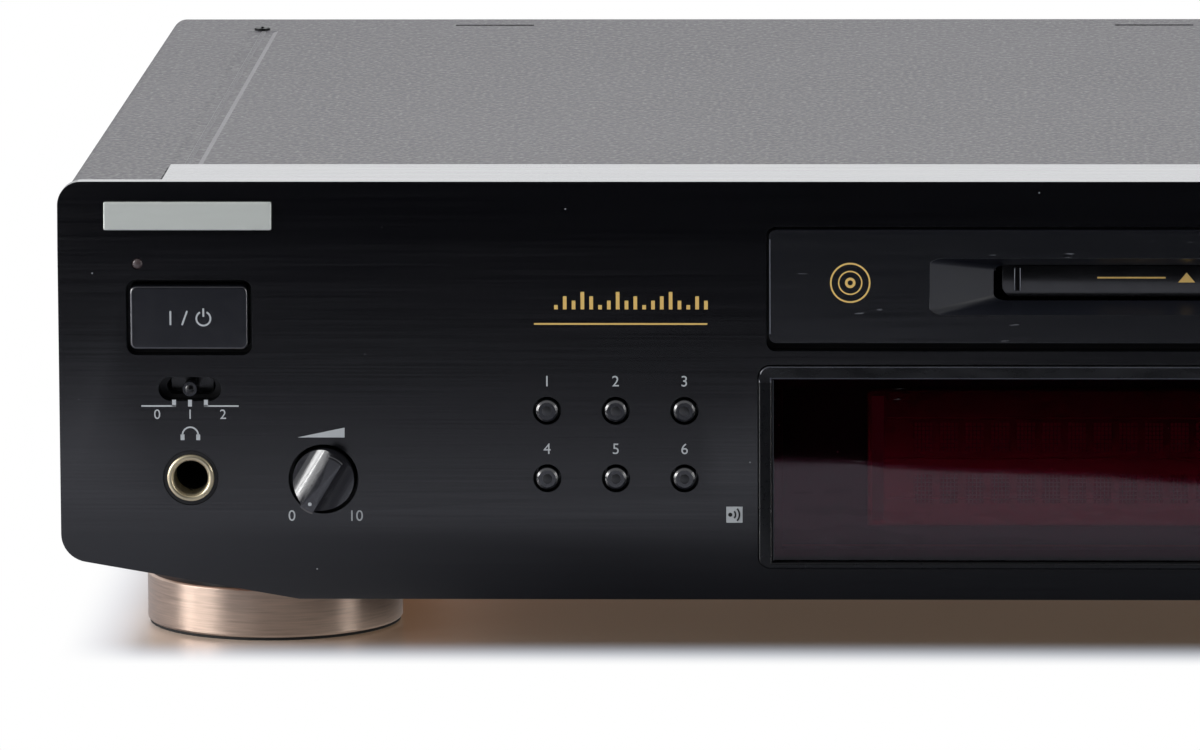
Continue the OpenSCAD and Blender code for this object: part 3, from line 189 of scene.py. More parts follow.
def smoked(name, tone):
    """Smoked acrylic, polished on both sides: it tints what lies behind and mirrors what stands in front."""
    material = bpy.data.materials.new(name)
    tree = empty_tree(material)
    haze = pattern(tree, (9, 9, 3), Detail=3.0)
    clear = add_node(tree, "ShaderNodeBsdfTransparent", {"Color": tone})
    mirror = add_node(tree, "ShaderNodeBsdfGlossy", {
        "Color": (1.0, 0.95, 0.98, 1.0), "Roughness": spread(tree, haze.outputs["Fac"], 0.015, 0.04)})
    share = add_node(tree, "ShaderNodeFresnel", {"IOR": 1.6})
    both = add_node(tree, "ShaderNodeMixShader", {0: share.outputs[0], 1: clear.outputs[0], 2: mirror.outputs[0]})
    # dust on the pane, and a few short level scratches
    dust = add_node(tree, "ShaderNodeBsdfDiffuse", {"Color": linear("#b8b4b6")})
    cells = pattern(tree, 7, "ShaderNodeTexVoronoi")
    scratch = pattern(tree, (7, 4, 0.5), Detail=1.0)
    specks = spread(tree, cells.outputs["Distance"], 0.8, 0.0, 0.014, 0.022)
    hairs = spread(tree, scratch.outputs["Fac"], 0.0, 0.25, 0.8, 0.86)
    cover = add_node(tree, "ShaderNodeMath", {0: specks, 1: hairs}, operation="MAXIMUM")
    both = add_node(tree, "ShaderNodeMixShader", {0: cover.outputs[0], 1: both.outputs[0], 2: dust.outputs[0]})
    add_node(tree, "ShaderNodeOutputMaterial", {"Surface": both.outputs[0]})
    return material


def make_finishes():
    """Every finish of the deck, by a plain name."""
    return {
        # Black anodised aluminium, brushed along the panel: fine level hairs that smear reflections upright.
        # A real hair is under 0.1 mm, so it is drawn at 0.4 mm to show.
        "hairline black": finish(
            "hairline_black_anodised", "#040407", "#050509", rough=(0.18, 0.23), grain_mm=(45, 2, 0.4),
            bump_mm=0.003, specular=0.9, ior=1.66, aniso=0.4, specks=(8, 0.16, "#a8aaad"),
            marks={"size_mm": (3, 9, 6), "start": 0.83, "strength": 0.25, "colour": "#8d9096"}),
        # The same aluminium on the panel's flange, seen almost along its surface; its lighter grey is a painted sheen.
        "flange": finish(
            "hairline_black_flange_painted_sheen", "#3a393b", "#403f42", rough=(0.2, 0.3), grain_mm=(45, 2, 0.4), coat=1.0,
            coat_rough=0.22, specular=0.9),
        # A painted highlight: a light metallic grey on the upper bevels of the panel, the frame and the lid.
        "painted edge highlight": finish(
            "painted_edge_highlight", "#3c3d41", "#5a5b60", rough=(0.2, 0.34), grain_mm=(6, 6, 2), metal=0.85,
            patch_mm=(14, 14, 8)),
        # Black ABS, moulded in a polished tool: deep gloss with soft edges.
        "gloss black": finish(
            "polished_black_abs", "#0b0b0d", "#0f0f11", rough=(0.14, 0.2), grain_mm=3, coat=0.3,
            coat_rough=0.06, specular=0.7, specks=(9, 0.12, "#8c8e92")),
        # Black ABS key cap with a satin gloss that has a blue cast.
        "key cap": finish(
            "satin_gloss_key_abs", "#0f1118", "#11131b", rough=(0.21, 0.24), grain_mm=2, specular=1.0, ior=1.8),
        # The round keys' caps: the same ABS, a little duller, so that their crowns show a soft light.
        "round cap": finish(
            "satin_round_key_abs", "#101114", "#131418", rough=(0.34, 0.4), grain_mm=1, specular=1.0,
            ior=1.7),
        # Dark grey ABS knob, satin.
        "knob grey": finish(
            "satin_grey_knob_abs", "#26262b", "#2a2a2f", rough=(0.2, 0.27), grain_mm=0.7,
            bump_mm=0.001, specular=1.0, ior=1.7),
        # Black ABS, fine spark-eroded texture: dull and even.
        "satin black": finish(
            "satin_black_abs", "#121315", "#16171a", rough=(0.36, 0.46), grain_mm=0.35,
            bump_mm=0.012, specular=0.8),
        # Grey-black acrylic lid with the light scuffs of cartridges put in by hand.
        "lid": finish(
            "scuffed_black_acrylic", "#0c0e14", "#0e1016", rough=(0.19, 0.23), grain_mm=(30, 3, 0.5),
            bump_mm=0.0015, specular=1.0, ior=1.95, specks=(8, 0.15, "#a0a2a6"),
            marks={"size_mm": (5, 3, 0.7), "start": 0.755, "strength": 0.4, "colour": "#a3a6ac"}),
        # The bead round the lid and the pane: a painted highlight, a fine bright line where a rounded edge catches the
        # light.
        "bead": finish(
            "painted_highlight_bead", "#a2a5ae", "#adb0b9", rough=(0.3, 0.4), grain_mm=2, metal=0.8,
            patch_mm=9),
        # The same acrylic in the finger recess, smooth, painted a little lighter as a sheen for its sloped walls; the
        # hairs are scuffs.
        "recess sheen and scuffs": finish(
            "recess_acrylic_sheen_and_scuffs", "#16181f", "#1b1d25", rough=(0.3, 0.36), grain_mm=2, specular=1.0,
            marks={"size_mm": (3, 3, 2), "start": 0.74, "strength": 0.3, "colour": "#83868d"}),
        # Smooth black ABS frame round the window.
        "frame black": finish(
            "smooth_black_frame_abs", "#101114", "#131418", rough=(0.26, 0.34), grain_mm=1, specular=0.75),
        # The frame's top bar, which leans back to the light and has a haze; its lighter colour is a painted sheen.
        "frame top": finish(
            "black_frame_abs_painted_sheen", "#3e414d", "#434652", rough=(0.3, 0.38), grain_mm=(12, 1, 1), specular=1.0,
            ior=1.9),
        # Powder coat on steel, dark grey with a coarse sandy grain of about 0.5 mm.
        "powder grey": finish(
            "powder_coat_dark_grey", "#39373c", "#3f3d42", rough=(0.38, 0.75), grain_mm=(0.9, 1.8, 0.9),
            bump_mm=0.5, patch_mm=(70, 90, 40), mottle=0.9,
            marks={"size_mm": (16, 5, 5), "start": 0.82, "strength": 0.12, "colour": "#b0aeb3"}),
        # The same coat, painted lighter on the ribs and the edges of the grooves: a painted highlight where they catch
        # the light.
        "powder painted highlight": finish(
            "powder_coat_painted_highlight", "#5a585d", "#616064", rough=(0.4, 0.6), grain_mm=1.1,
            bump_mm=0.2, patch_mm=30, mottle=0.5),
        # Turned aluminium, brushed round and anodised to a champagne tone: level hairs, upright highlights.
        "champagne": finish(
            "champagne_turned_aluminium", "#c2ab9c", "#cdb8a9", rough=(0.34, 0.46), grain_mm=(8, 8, 0.35),
            bump_mm=0.02, metal=1.0, patch_mm=30, aniso=0.6, mottle=0.14),
        # Pale gold plate over a polished brass ring.
        "gold plate": finish(
            "pale_gold_plate", "#efe0bc", "#f3e8cc", rough=(0.26, 0.34), grain_mm=2, metal=0.85),
        # Satin silver plate on the plain raised bar.
        "bar silver": finish(
            "satin_silver_bar", "#dce2da", "#e4e8e1", rough=(0.28, 0.38), grain_mm=(6, 3, 0.3), metal=0.35,
            bump_mm=0.003),
        # Coppery passivation on the steel chassis: warm, dull, with soft blooms.
        "copper plate": finish(
            "copper_plated_steel", "#a9714f", "#bd8460", rough=(0.35, 0.5), grain_mm=1.2, metal=1.0,
            patch_mm=14),
        # Smoked acrylic with a wine-red tint.
        "smoked acrylic": smoked("smoked_red_acrylic", (0.62, 0.3, 0.41, 1.0)),
        # Display glass with its grid unlit: dull wine red.
        "display glass": finish(
            "unlit_display_glass", "#ca6e80", "#be6676", rough=(0.1, 0.16), grain_mm=1,
            patch_mm=(40, 20, 20), metal=0.8),
        # Unlit phosphor dots and grid wires, a little paler than the glass.
        "display dots": finish(
            "unlit_display_phosphor", "#cc8a92", "#c08088", rough=(0.3, 0.4), grain_mm=1, metal=0.3),
        # Screen-printed ink: flat and dull.
        "grey ink": finish("light_grey_screen_ink", "#c4c8ca", "#bec2c4", rough=(0.5, 0.6), grain_mm=0.3),
        "dark ink": finish("black_screen_ink", "#17181a", "#1b1c1e", rough=(0.5, 0.6), grain_mm=0.3),
        "gold ink": finish("gold_screen_ink", "#f6cf7c", "#f0c770", rough=(0.45, 0.55), grain_mm=0.3),
        # Unlit lamp lens of tinted clear plastic.
        "lamp lens": finish("tinted_lamp_lens", "#5a4e4e", "#4f4545", rough=(0.08, 0.14), grain_mm=1, coat=0.5),
        # Rubber, moulded: dull.
        "rubber": finish("moulded_rubber", "#1a1a1a", "#202020", rough=(0.7, 0.85), grain_mm=0.4, bump_mm=0.02),
        # Zinc-plated steel sheet: grey with soft blooms.
        "zinc steel": finish(
            "zinc_plated_steel", "#a9abb0", "#bcbdbf", rough=(0.3, 0.45), grain_mm=1.2, metal=1.0,
            patch_mm=14),
        # Satin black paint on the rear sheet.
        "rear paint": finish(
            "satin_black_paint", "#232325", "#28282a", rough=(0.45, 0.58), grain_mm=0.5, bump_mm=0.015),
        # Black zinc on screws.
        "screw black": finish(
            "black_zinc_screw", "#1b1b1d", "#242427", rough=(0.3, 0.42), grain_mm=0.8, metal=0.6),
        # Glass-fibre board under green solder mask.
        "board green": finish(
            "green_solder_mask", "#1c4a30", "#23573a", rough=(0.3, 0.4), grain_mm=1.5, patch_mm=9),
        # Varnished core steel.
        "core steel": finish(
            "varnished_core_steel", "#4d4843", "#5a544d", rough=(0.4, 0.55), grain_mm=(30, 30, 0.5), bump_mm=0.05,
            metal=0.7),
        # Nickel-plated motor can.
        "nickel can": finish(
            "nickel_plated_can", "#b4b2ac", "#bebcb6", rough=(0.22, 0.3), grain_mm=1, metal=1.0),
        # Ground steel rod.
        "ground rod": finish(
            "ground_steel_rod", "#c6c8cb", "#cfd1d3", rough=(0.12, 0.2), grain_mm=(0.4, 4, 4), metal=1.0),
        # Acetal, moulded: milky and waxy.
        "acetal": finish(
            "milky_acetal", "#dcdbd3", "#e3e2da", rough=(0.35, 0.45), grain_mm=1.5),
        # PVC inserts, moulded, in the usual colours of the two channels.
        "jack red": finish("moulded_red_pvc", "#a8201c", "#b02824", rough=(0.35, 0.45), grain_mm=1),
        "jack white": finish("moulded_white_pvc", "#dedcd4", "#e6e4dc", rough=(0.35, 0.45), grain_mm=1),
    }


FINISH_OF_SLOT = {
    "brushed_black_panel": "hairline black", "black_abs": "satin black", "lid_black": "lid",
    "flap_black": "gloss black", "smoked_acrylic": "smoked acrylic", "display_tube": "display glass",
    "cover_paint": "powder grey", "bright_chrome": "bar silver", "gold_plate": "gold plate",
    "champagne_foot": "champagne", "foot_rubber": "rubber", "lamp_lens": "lamp lens", "zinc_steel": "zinc steel",
    "rear_paint": "rear paint", "screw_black": "screw black", "board_green": "board green",
    "part_black": "satin black", "core_steel": "core steel", "socket_black": "satin black",
    "mech_steel": "zinc steel", "motor_can": "nickel can", "bright_rod": "ground rod", "acetal_white": "acetal",
    "key_black": "key cap",
}
FINISHES = {}


# ---------- shapes ----------

INK_DEPTH = 0.06  # thickness of the printed marks, in millimetres, drawn thicker than ink to show


def object_of(name, bm):
    """Makes a bmesh an object of the scene."""
    mesh = bpy.data.meshes.new(name)
    bm.to_mesh(mesh)
    bm.free()
    made = bpy.data.objects.new(name, mesh)
    bpy.context.scene.collection.objects.link(made)
    return made


def shown_mesh(made):
    """The mesh that an object's outline or modifiers give."""
    bpy.context.view_layer.update()
    return bpy.data.meshes.new_from_object(made.evaluated_get(bpy.context.evaluated_depsgraph_get()))


def piece_of(name, bm, body, material, stands_for=(), smooth=32):
    """Makes a bmesh a finished piece that rides on a CAD body."""
    bmesh.ops.remove_doubles(bm, verts=bm.verts, dist=1e-7)
    bmesh.ops.recalc_face_normals(bm, faces=bm.faces)
    made = object_of(name, bm)
    for polygon in made.data.polygons:
        polygon.use_smooth = True
    made.data.set_sharp_from_angle(angle=radians(smooth))
    made.data.materials.append(FINISHES[material])
    # large faces keep their own flat shading beside a soft edge
    weighted = made.modifiers.new("large faces", "WEIGHTED_NORMAL")
    weighted.keep_sharp = True
    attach(made, body)
    if stands_for:
        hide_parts(*stands_for)
    return made


def copy_of(node):
    """A node's mesh with its loose triangles joined into whole faces."""
    bm = bmesh.new()
    bm.from_mesh(frame["nodes"][node].data)
    bmesh.ops.remove_doubles(bm, verts=bm.verts, dist=2e-6)
    bmesh.ops.dissolve_limit(bm, angle_limit=radians(0.4), verts=bm.verts, edges=bm.edges)
    return bm


def dressed(node, name, material=None, edge=0.0, pick=None, segments=2, sharper_than=40, smooth=32):
    """A finished piece in a node's own shape, with its edges rounded where a test picks them."""
    bm = copy_of(node)
    if edge:
        soften(bm, edge, pick or (lambda p: True), segments, sharper_than)
    return piece_of(name, bm, BODIES[node], material or FINISH_OF_SLOT[SLOTS[node]], [node], smooth)


def second_finish(piece, material, pick):
    """Gives a piece's faces another finish where a test of their middle and normal picks them."""
    piece.data.materials.append(FINISHES[material])
    for polygon in piece.data.polygons:
        if pick(polygon.center, polygon.normal):
            polygon.material_index = len(piece.data.materials) - 1


def bevelled(bm, edges, width, segments=2):
    """Rounds edges, and returns the vertices that this makes."""
    return bmesh.ops.bevel(
        bm, geom=edges, offset=width, offset_type="OFFSET", segments=segments, profile=0.5, affect="EDGES",
        clamp_overlap=True, material=-1)["verts"]


def soften(bm, width, pick, segments=2, sharper_than=30):
    """Rounds the sharp edges that a test picks."""
    bevelled(bm, [e for e in bm.edges if len(e.link_faces) == 2 and e.is_convex
                  and e.calc_face_angle() > radians(sharper_than) and all(pick(v.co) for v in e.verts)],
             width, segments)


def sliced(bm, place, way, dist=1e-7):
    """Adds a loop of edges where a plane meets the mesh."""
    bmesh.ops.bisect_plane(
        bm, geom=bm.verts[:] + bm.edges[:] + bm.faces[:], dist=dist, plane_co=place, plane_no=way)


def drawn_out(bm, verts, way):
    """Makes a face of these vertices and draws it out to a prism."""
    made = bmesh.ops.extrude_face_region(bm, geom=[bm.faces.new(verts)])["geom"]
    bmesh.ops.translate(bm, verts=[g for g in made if isinstance(g, bmesh.types.BMVert)], vec=way)


def turned(bm, profile, at, steps):
    """Spins a profile of radius and reach about the line through a point that runs back from the face."""
    verts = [bm.verts.new(Vector(at) + Vector((r, reach, 0))) for r, reach in profile]
    edges = [bm.edges.new(pair) for pair in zip(verts, verts[1:])]
    bmesh.ops.spin(bm, geom=verts + edges, cent=at, axis=(0, 1, 0), angle=2 * pi, steps=steps, use_merge=True,
                   dvec=(0, 0, 0))
    bmesh.ops.remove_doubles(bm, verts=bm.verts, dist=1e-7)


def domed(bm, at, radius, crown, skirt, step=6, steps=48):
    """A round cap about its tip: a crown, and a straight skirt behind it. A step is an angle in degrees."""
    crown_points = [(radius * sin(radians(a)), crown * (1 - cos(radians(a)))) for a in range(90, 0, -step)]
    turned(bm, [(radius, skirt)] + crown_points + [(0.0, 0.0)], at, steps)


def rounded_block(bm, low, high, edge):
    """Adds a block between two corners, with its edges rounded."""
    low, high = Vector(low), Vector(high)
    made = bmesh.ops.create_cube(bm, size=1.0)["verts"]
    bmesh.ops.scale(bm, verts=made, vec=high - low)
    made = bevelled(bm, list({e for v in made for e in v.link_edges}), edge)
    bmesh.ops.translate(bm, verts=list(set(made)), vec=(low + high) / 2)


def stroke(bm, x, z, width, height, front, turn=0.0, depth=INK_DEPTH):
    """A flat printed bar about a point of the face, in millimetres, with front as its plane in metres."""
    bmesh.ops.create_cube(bm, size=1.0, matrix=(
        Matrix.Translation((x * MM, front, z * MM)) @ Matrix.Rotation(radians(turn), 4, "Y")
        @ Matrix.Diagonal((width * MM, depth * MM, height * MM, 1.0))))


def patch(bm, x, z, corners, front, depth=INK_DEPTH):
    """A flat printed shape with these corners about a point of the face, in millimetres."""
    verts = [bm.verts.new(((x + dx) * MM, front - depth * MM / 2, (z + dz) * MM)) for dx, dz in corners]
    drawn_out(bm, verts, (0, depth * MM, 0))


def triangle(bm, x, z, size, front, way=1):
    """A printed triangle that points to the right, or to the left with way at -1."""
    patch(bm, x, z, [(-way * size / 2, -size / 2), (way * size / 2, 0), (-way * size / 2, size / 2)], front)


def arc(bm, x, z, radius, width, front, start=0.0, end=360.0):
    """A flat printed ring, or part of one, from a start to an end angle in degrees."""
    inner, outer, half = radius - width / 2, radius + width / 2, INK_DEPTH / 2
    whole = end - start > 359
    aim = radians(start)
    verts = [bm.verts.new((x * MM + r * MM * cos(aim), front + d * MM, z * MM + r * MM * sin(aim)))
             for r, d in ((inner, -half), (outer, -half), (outer, half), (inner, half))]
    edges = [bm.edges.new((verts[i], verts[(i + 1) % 4])) for i in range(4)]
    if not whole:
        bm.faces.new(verts)
    spun = bmesh.ops.spin(bm, geom=verts + edges, cent=(x * MM, front, z * MM), axis=(0, -1, 0),
                          angle=radians(end - start), steps=max(6, int((end - start) / 12)), use_merge=whole,
                          dvec=(0, 0, 0))
    if not whole:
        ends = [g for g in spun["geom_last"] if isinstance(g, bmesh.types.BMVert)]
        if len(ends) == 4:
            bmesh.ops.contextual_create(bm, geom=ends)


def numeral(bm, text, x, z, height, front):
    """Plain numerals, as tall as height, about a point of the face."""
    curve = bpy.data.curves.new("numeral", "FONT")
    curve.body = text
    curve.size = height * MM * 1.4  # a numeral is 1 / 1.4 of its type size tall
    curve.align_x = "CENTER"
    curve.align_y = "CENTER"
    curve.extrude = INK_DEPTH * MM / 2
    holder = bpy.data.objects.new("numeral", curve)
    bpy.context.scene.collection.objects.link(holder)
    mesh = shown_mesh(holder)
    mesh.transform(Matrix.Translation((x * MM, front, z * MM)) @ Matrix.Rotation(radians(90), 4, "X"))
    bm.from_mesh(mesh)
    bpy.data.meshes.remove(mesh)
    bpy.data.objects.remove(holder)
    bpy.data.curves.remove(curve)


def joined_by(operation, bm, other):
    """Cuts one closed shape with another, or keeps what they share."""
    for source in (bm, other):
        bmesh.ops.recalc_face_normals(source, faces=source.faces)
    whole, cutter = object_of("whole", bm), object_of("cutter", other)
    step = whole.modifiers.new("cut", "BOOLEAN")
    step.operation = operation
    step.solver = "EXACT"
    step.object = cutter
    mesh = shown_mesh(whole)
    result = bmesh.new()
    result.from_mesh(mesh)
    for old in (whole.data, cutter.data, mesh):
        bpy.data.meshes.remove(old)
    return result


# ---------- what a user would change ----------

class DeckSizes(bpy.types.PropertyGroup):
    """Sizes of the details that the pieces add to the frame."""
    panel_edge: FloatProperty(
        name="Panel edge", description="Bright bevel round the front panel", default=0.00028, unit="LENGTH")
    key_edge: FloatProperty(
        name="Key edge", description="Rounding of the flat keys", default=0.0004, unit="LENGTH")
    key_dome: FloatProperty(
        name="Key dome", description="Crown of the round keys", default=0.0007, unit="LENGTH")
    scoop: FloatProperty(
        name="Knob scoop", description="Radius of the hollow beside a knob's grip", default=0.0042, unit="LENGTH")
    frame_lean: FloatProperty(
        name="Frame lean", description="How far the display frame leans back to its outer edge", default=0.0011,
        unit="LENGTH")
    flap_curl: FloatProperty(
        name="Flap curl", description="How far the flap curls back at its lower edge", default=0.0005, unit="LENGTH")
    ink_height: FloatProperty(
        name="Numerals", description="Height of the printed numerals", default=0.0021, unit="LENGTH")
    camera_distance: FloatProperty(
        name="Camera distance", description="Distance of the camera in front of the panel", default=1.768,
        unit="LENGTH")


class DeckLook(bpy.types.PropertyGroup):
    """Colours and light that a user would change."""
    backdrop: FloatVectorProperty(
        name="Backdrop", description="Colour that the camera sees behind the deck", subtype="COLOR", size=3,
        default=(1.0, 1.0, 1.0), min=0.0, max=1.0)
    lamp_power: FloatProperty(
        name="Overhead lamp", description="Power of the soft lamp above and behind, in watts", default=15.0, min=0.0)
    window_power: FloatProperty(
        name="Left window", description="Power of the soft window light at the left, in watts", default=6.0, min=0.0)
    strip_power: FloatProperty(
        name="Side strips", description="Power of each upright strip lamp, in watts", default=4.0, min=0.0)


# ---------- stage ----------

class DECK_OT_stage(bpy.types.Operator):
    """Makes the pale table, the soft light and the camera"""
    bl_idname = "deck.stage"
    bl_label = "Stage and camera"

    def execute(self, context):
        scene = context.scene
        scene.view_settings.view_transform = "Standard"
        self.world(scene)
        self.table()
        self.lamps(scene)
        self.camera(scene)
        return {"FINISHED"}

    def world(self, scene):
        scene.world = bpy.data.worlds.new("studio")
        tree = empty_tree(scene.world)
        path = add_node(tree, "ShaderNodeLightPath")
        seen = add_node(tree, "ShaderNodeMath", {
            0: path.outputs["Is Camera Ray"], 1: path.outputs["Is Transmission Ray"]}, operation="MAXIMUM")
        # polished pieces mirror a white backdrop behind and a grey room at the sides and in front
        way = add_node(tree, "ShaderNodeTexCoord")
        parts = add_node(tree, "ShaderNodeSeparateXYZ", {"Vector": way.outputs["Generated"]})
        level = spread(tree, parts.outputs["Y"], 0.42, 1.0, -0.1, 0.5)
        lit = add_node(tree, "ShaderNodeBackground", {"Color": (0.93, 0.96, 1.0, 1.0), "Strength": 0.5})
        mirrored = add_node(tree, "ShaderNodeBackground", {"Color": (0.97, 0.98, 1.0, 1.0), "Strength": level})
        shown = add_node(tree, "ShaderNodeBackground", {
            "Color": tuple(scene.deck_look.backdrop) + (1.0,), "Strength": 1.0})
        mixed = add_node(tree, "ShaderNodeMixShader", {
            0: path.outputs["Is Glossy Ray"], 1: lit.outputs[0], 2: mirrored.outputs[0]})
        mixed = add_node(tree, "ShaderNodeMixShader", {0: seen.outputs[0], 1: mixed.outputs[0], 2: shown.outputs[0]})
        add_node(tree, "ShaderNodeOutputWorld", {"Surface": mixed.outputs[0]})

    def table(self):
        bm = bmesh.new()
        bmesh.ops.create_grid(bm, x_segments=1, y_segments=1, size=3.0,
                              matrix=Matrix.Translation((0, 0, -0.02 * MM)))
        table = object_of("table", bm)
        material = bpy.data.materials.new("white_acrylic_table")
        tree = empty_tree(material)
        place = add_node(tree, "ShaderNodeTexCoord")
        parts = add_node(tree, "ShaderNodeSeparateXYZ", {"Vector": place.outputs["Object"]})
        path = add_node(tree, "ShaderNodeLightPath")
        both = add_node(tree, "ShaderNodeMixShader", {
            0: path.outputs["Is Camera Ray"], 1: self.lit_table(tree, parts), 2: self.seen_table(tree, parts)})
        add_node(tree, "ShaderNodeOutputMaterial", {"Surface": both.outputs[0]})
        table.data.materials.append(material)

    def lit_table(self, tree, parts):
        """What the deck mirrors: a cool white sheet with painted shade close in front of the deck, lifted at its left
        end.
        """
        bloom = pattern(tree, 25, Detail=3.0)
        clear_of_painted_shade = spread(tree, parts.outputs["Y"], 0.0, 1.0, FACE - 0.08, FACE - 0.155)
        beside = spread(tree, parts.outputs["X"], 0.0, 0.5, LEFT + 0.1, LEFT + 0.01)
        lit = add_node(tree, "ShaderNodeMath", {0: clear_of_painted_shade, 1: beside}, operation="MAXIMUM")
        # painted shade: the sheet's colour goes dark close in front of the deck
        cool = add_node(tree, "ShaderNodeMix", {
            0: lit.outputs[0], 6: linear("#4a4b52"), 7: linear("#d0d1dc")}, data_type="RGBA")
        sheet = add_node(tree, "ShaderNodeBsdfPrincipled", {
            "Base Color": cool.outputs[2], "Roughness": spread(tree, bloom.outputs["Fac"], 0.24, 0.34)})
        # painted light: the table glows close by the front feet, standing in for light that comes in at the side, and
        # the feet mirror it
        foot_x = 0.17
        aside = parts.outputs["X"]
        for operation, other in (("ABSOLUTE", 0.0), ("SUBTRACT", foot_x), ("ABSOLUTE", 0.0)):
            aside = add_node(tree, "ShaderNodeMath", {0: aside, 1: other}, operation=operation).outputs[0]
        across = spread(tree, aside, 0.0, 0.32, 0.034, 0.014)
        along = spread(tree, parts.outputs["Y"], 0.0, 1.0, FACE - 0.05, FACE - 0.02)
        painted_side_light = add_node(tree, "ShaderNodeMath", {0: across, 1: along}, operation="MULTIPLY")
        glow = add_node(tree, "ShaderNodeEmission", {
            "Color": (1.0, 0.95, 0.9, 1.0), "Strength": painted_side_light.outputs[0]})
        return add_node(tree, "ShaderNodeAddShader", {0: sheet.outputs[0], 1: glow.outputs[0]}).outputs[0]

    def seen_table(self, tree, parts):
        """What the camera sees: a table exposed to white all round, with a soft shade only under the deck; its fade to
        white, its brown tint and a warm glow in it are painted.
        """
        # painted tint: the camera sees the table in a warm colour, so that the shade under the deck looks brown
        bright = add_node(tree, "ShaderNodeBsdfDiffuse", {"Color": (0.8, 0.7, 0.62, 1.0)})
        gloss = add_node(tree, "ShaderNodeBsdfGlossy", {"Color": (0.95, 0.92, 0.9, 1.0), "Roughness": 0.2})
        fresnel = add_node(tree, "ShaderNodeFresnel", {"IOR": 1.45})
        shade = add_node(tree, "ShaderNodeMixShader", {
            0: fresnel.outputs[0], 1: bright.outputs[0], 2: gloss.outputs[0]})
        # painted glow: a faint warm light added in the shade under the deck
        warm = add_node(tree, "ShaderNodeEmission", {"Color": (0.05, 0.032, 0.018, 1.0), "Strength": 1.0})
        shade = add_node(tree, "ShaderNodeAddShader", {0: shade.outputs[0], 1: warm.outputs[0]})
        # painted shade edge: the white gives way to the shade in a smooth fade inside the deck's outline
        under = 1.0
        for axis, near, far in (("Y", FACE + 0.008, FACE + 0.036), ("Y", BACK + 0.03, BACK - 0.02),
                                ("X", LEFT - 0.004, LEFT + 0.016), ("X", RIGHT + 0.004, RIGHT - 0.016)):
            inside = spread(tree, parts.outputs[axis], 0.0, 1.0, near, far, interpolation_type="SMOOTHSTEP")
            under = add_node(tree, "ShaderNodeMath", {0: under, 1: inside}, operation="MULTIPLY").outputs[0]
        # painted tint: where the shade fades into the white, the white turns a cool blue
        edge = add_node(tree, "ShaderNodeMix", {
            0: under, 6: (1.0, 1.0, 1.0, 1.0), 7: (0.72, 0.82, 0.98, 1.0)}, data_type="RGBA")
        white = add_node(tree, "ShaderNodeEmission", {"Color": edge.outputs[2], "Strength": 1.0})
        return add_node(tree, "ShaderNodeMixShader", {
            0: under, 1: white.outputs[0], 2: shade.outputs[0]}).outputs[0]

    def lamps(self, scene):
        look = scene.deck_look
        left_foot = (-0.18, -0.1, 0.03)
        for name, place, aim, size, power in (
                ("overhead", (0.0, 0.95, 1.15), (0.0, 0.0, 0.0), (1.8, 0.9), look.lamp_power),
                ("window_left", (-1.15, -0.62, 0.5), left_foot, (0.4, 0.7), look.window_power),
                ("strip_left", (-1.35, -0.27, 0.3), left_foot, (0.1, 0.8), look.strip_power),
                ("strip_right", (1.15, -0.48, 0.3), left_foot, (0.1, 0.8), look.strip_power)):
            data = bpy.data.lights.new(name, "AREA")
            data.shape = "RECTANGLE"
            data.size, data.size_y = size
            data.energy = power
            lamp = bpy.data.objects.new(name, data)
            scene.collection.objects.link(lamp)
            way = Vector(aim) - Vector(place)
            lamp.matrix_world = Matrix.Translation(place) @ way.to_track_quat("-Z", "Y").to_matrix().to_4x4()
        # the dark room in front, which the upper half of the panel mirrors; its lower edge bends as in the window
        bm = bmesh.new()
        rows = [[bm.verts.new((x, FACE - reach, z)) for z in (0.0, 0.55)] for x, reach in (
            (-0.27, 0.256), (-0.0826, 0.2474), (-0.0643, 0.2455), (-0.0574, 0.2392), (-0.0444, 0.2357),
            (-0.027, 0.2317), (-0.0093, 0.227), (0.0078, 0.2195), (0.12, 0.205), (0.19, 0.2))]
        for one, two in zip(rows, rows[1:]):
            bm.faces.new((one[0], two[0], two[1], one[1]))
        card = object_of("dark_room", bm)
        material = bpy.data.materials.new("black_cloth")
        tree = empty_tree(material)
        cloth = add_node(tree, "ShaderNodeBsdfPrincipled", {
            "Base Color": linear("#060606"), "Roughness": 1.0, "Specular IOR Level": 0.0})
        add_node(tree, "ShaderNodeOutputMaterial", {"Surface": cloth.outputs[0]})
        card.data.materials.append(material)
        card.visible_camera = False
        card.visible_diffuse = False
        card.visible_transmission = False
        card.visible_shadow = False

    def camera(self, scene):
        data = bpy.data.cameras.new("camera")
        focal_px, frame_px = 9397.61, 1200
        data.sensor_width = 36.0
        data.lens = focal_px * data.sensor_width / frame_px
        data.clip_end = 20.0
        camera = bpy.data.objects.new("camera", data)
        scene.collection.objects.link(camera)
        yaw, pitch, roll = radians(-1.95), radians(8.87), radians(-0.25)
        ahead = Vector((sin(yaw) * cos(pitch), cos(yaw) * cos(pitch), -sin(pitch)))
        level = Vector((cos(yaw), -sin(yaw), 0))
        above = level.cross(ahead)
        right = level * cos(roll) + above * sin(roll)
        up = above * cos(roll) - level * sin(roll)
        turn = Matrix((right, up, -ahead)).transposed().to_4x4()
        camera.matrix_world = Matrix.Translation((-0.05147, FACE - scene.deck_sizes.camera_distance, 0.33403)) @ turn
        scene.camera = camera


# ---------- front ----------

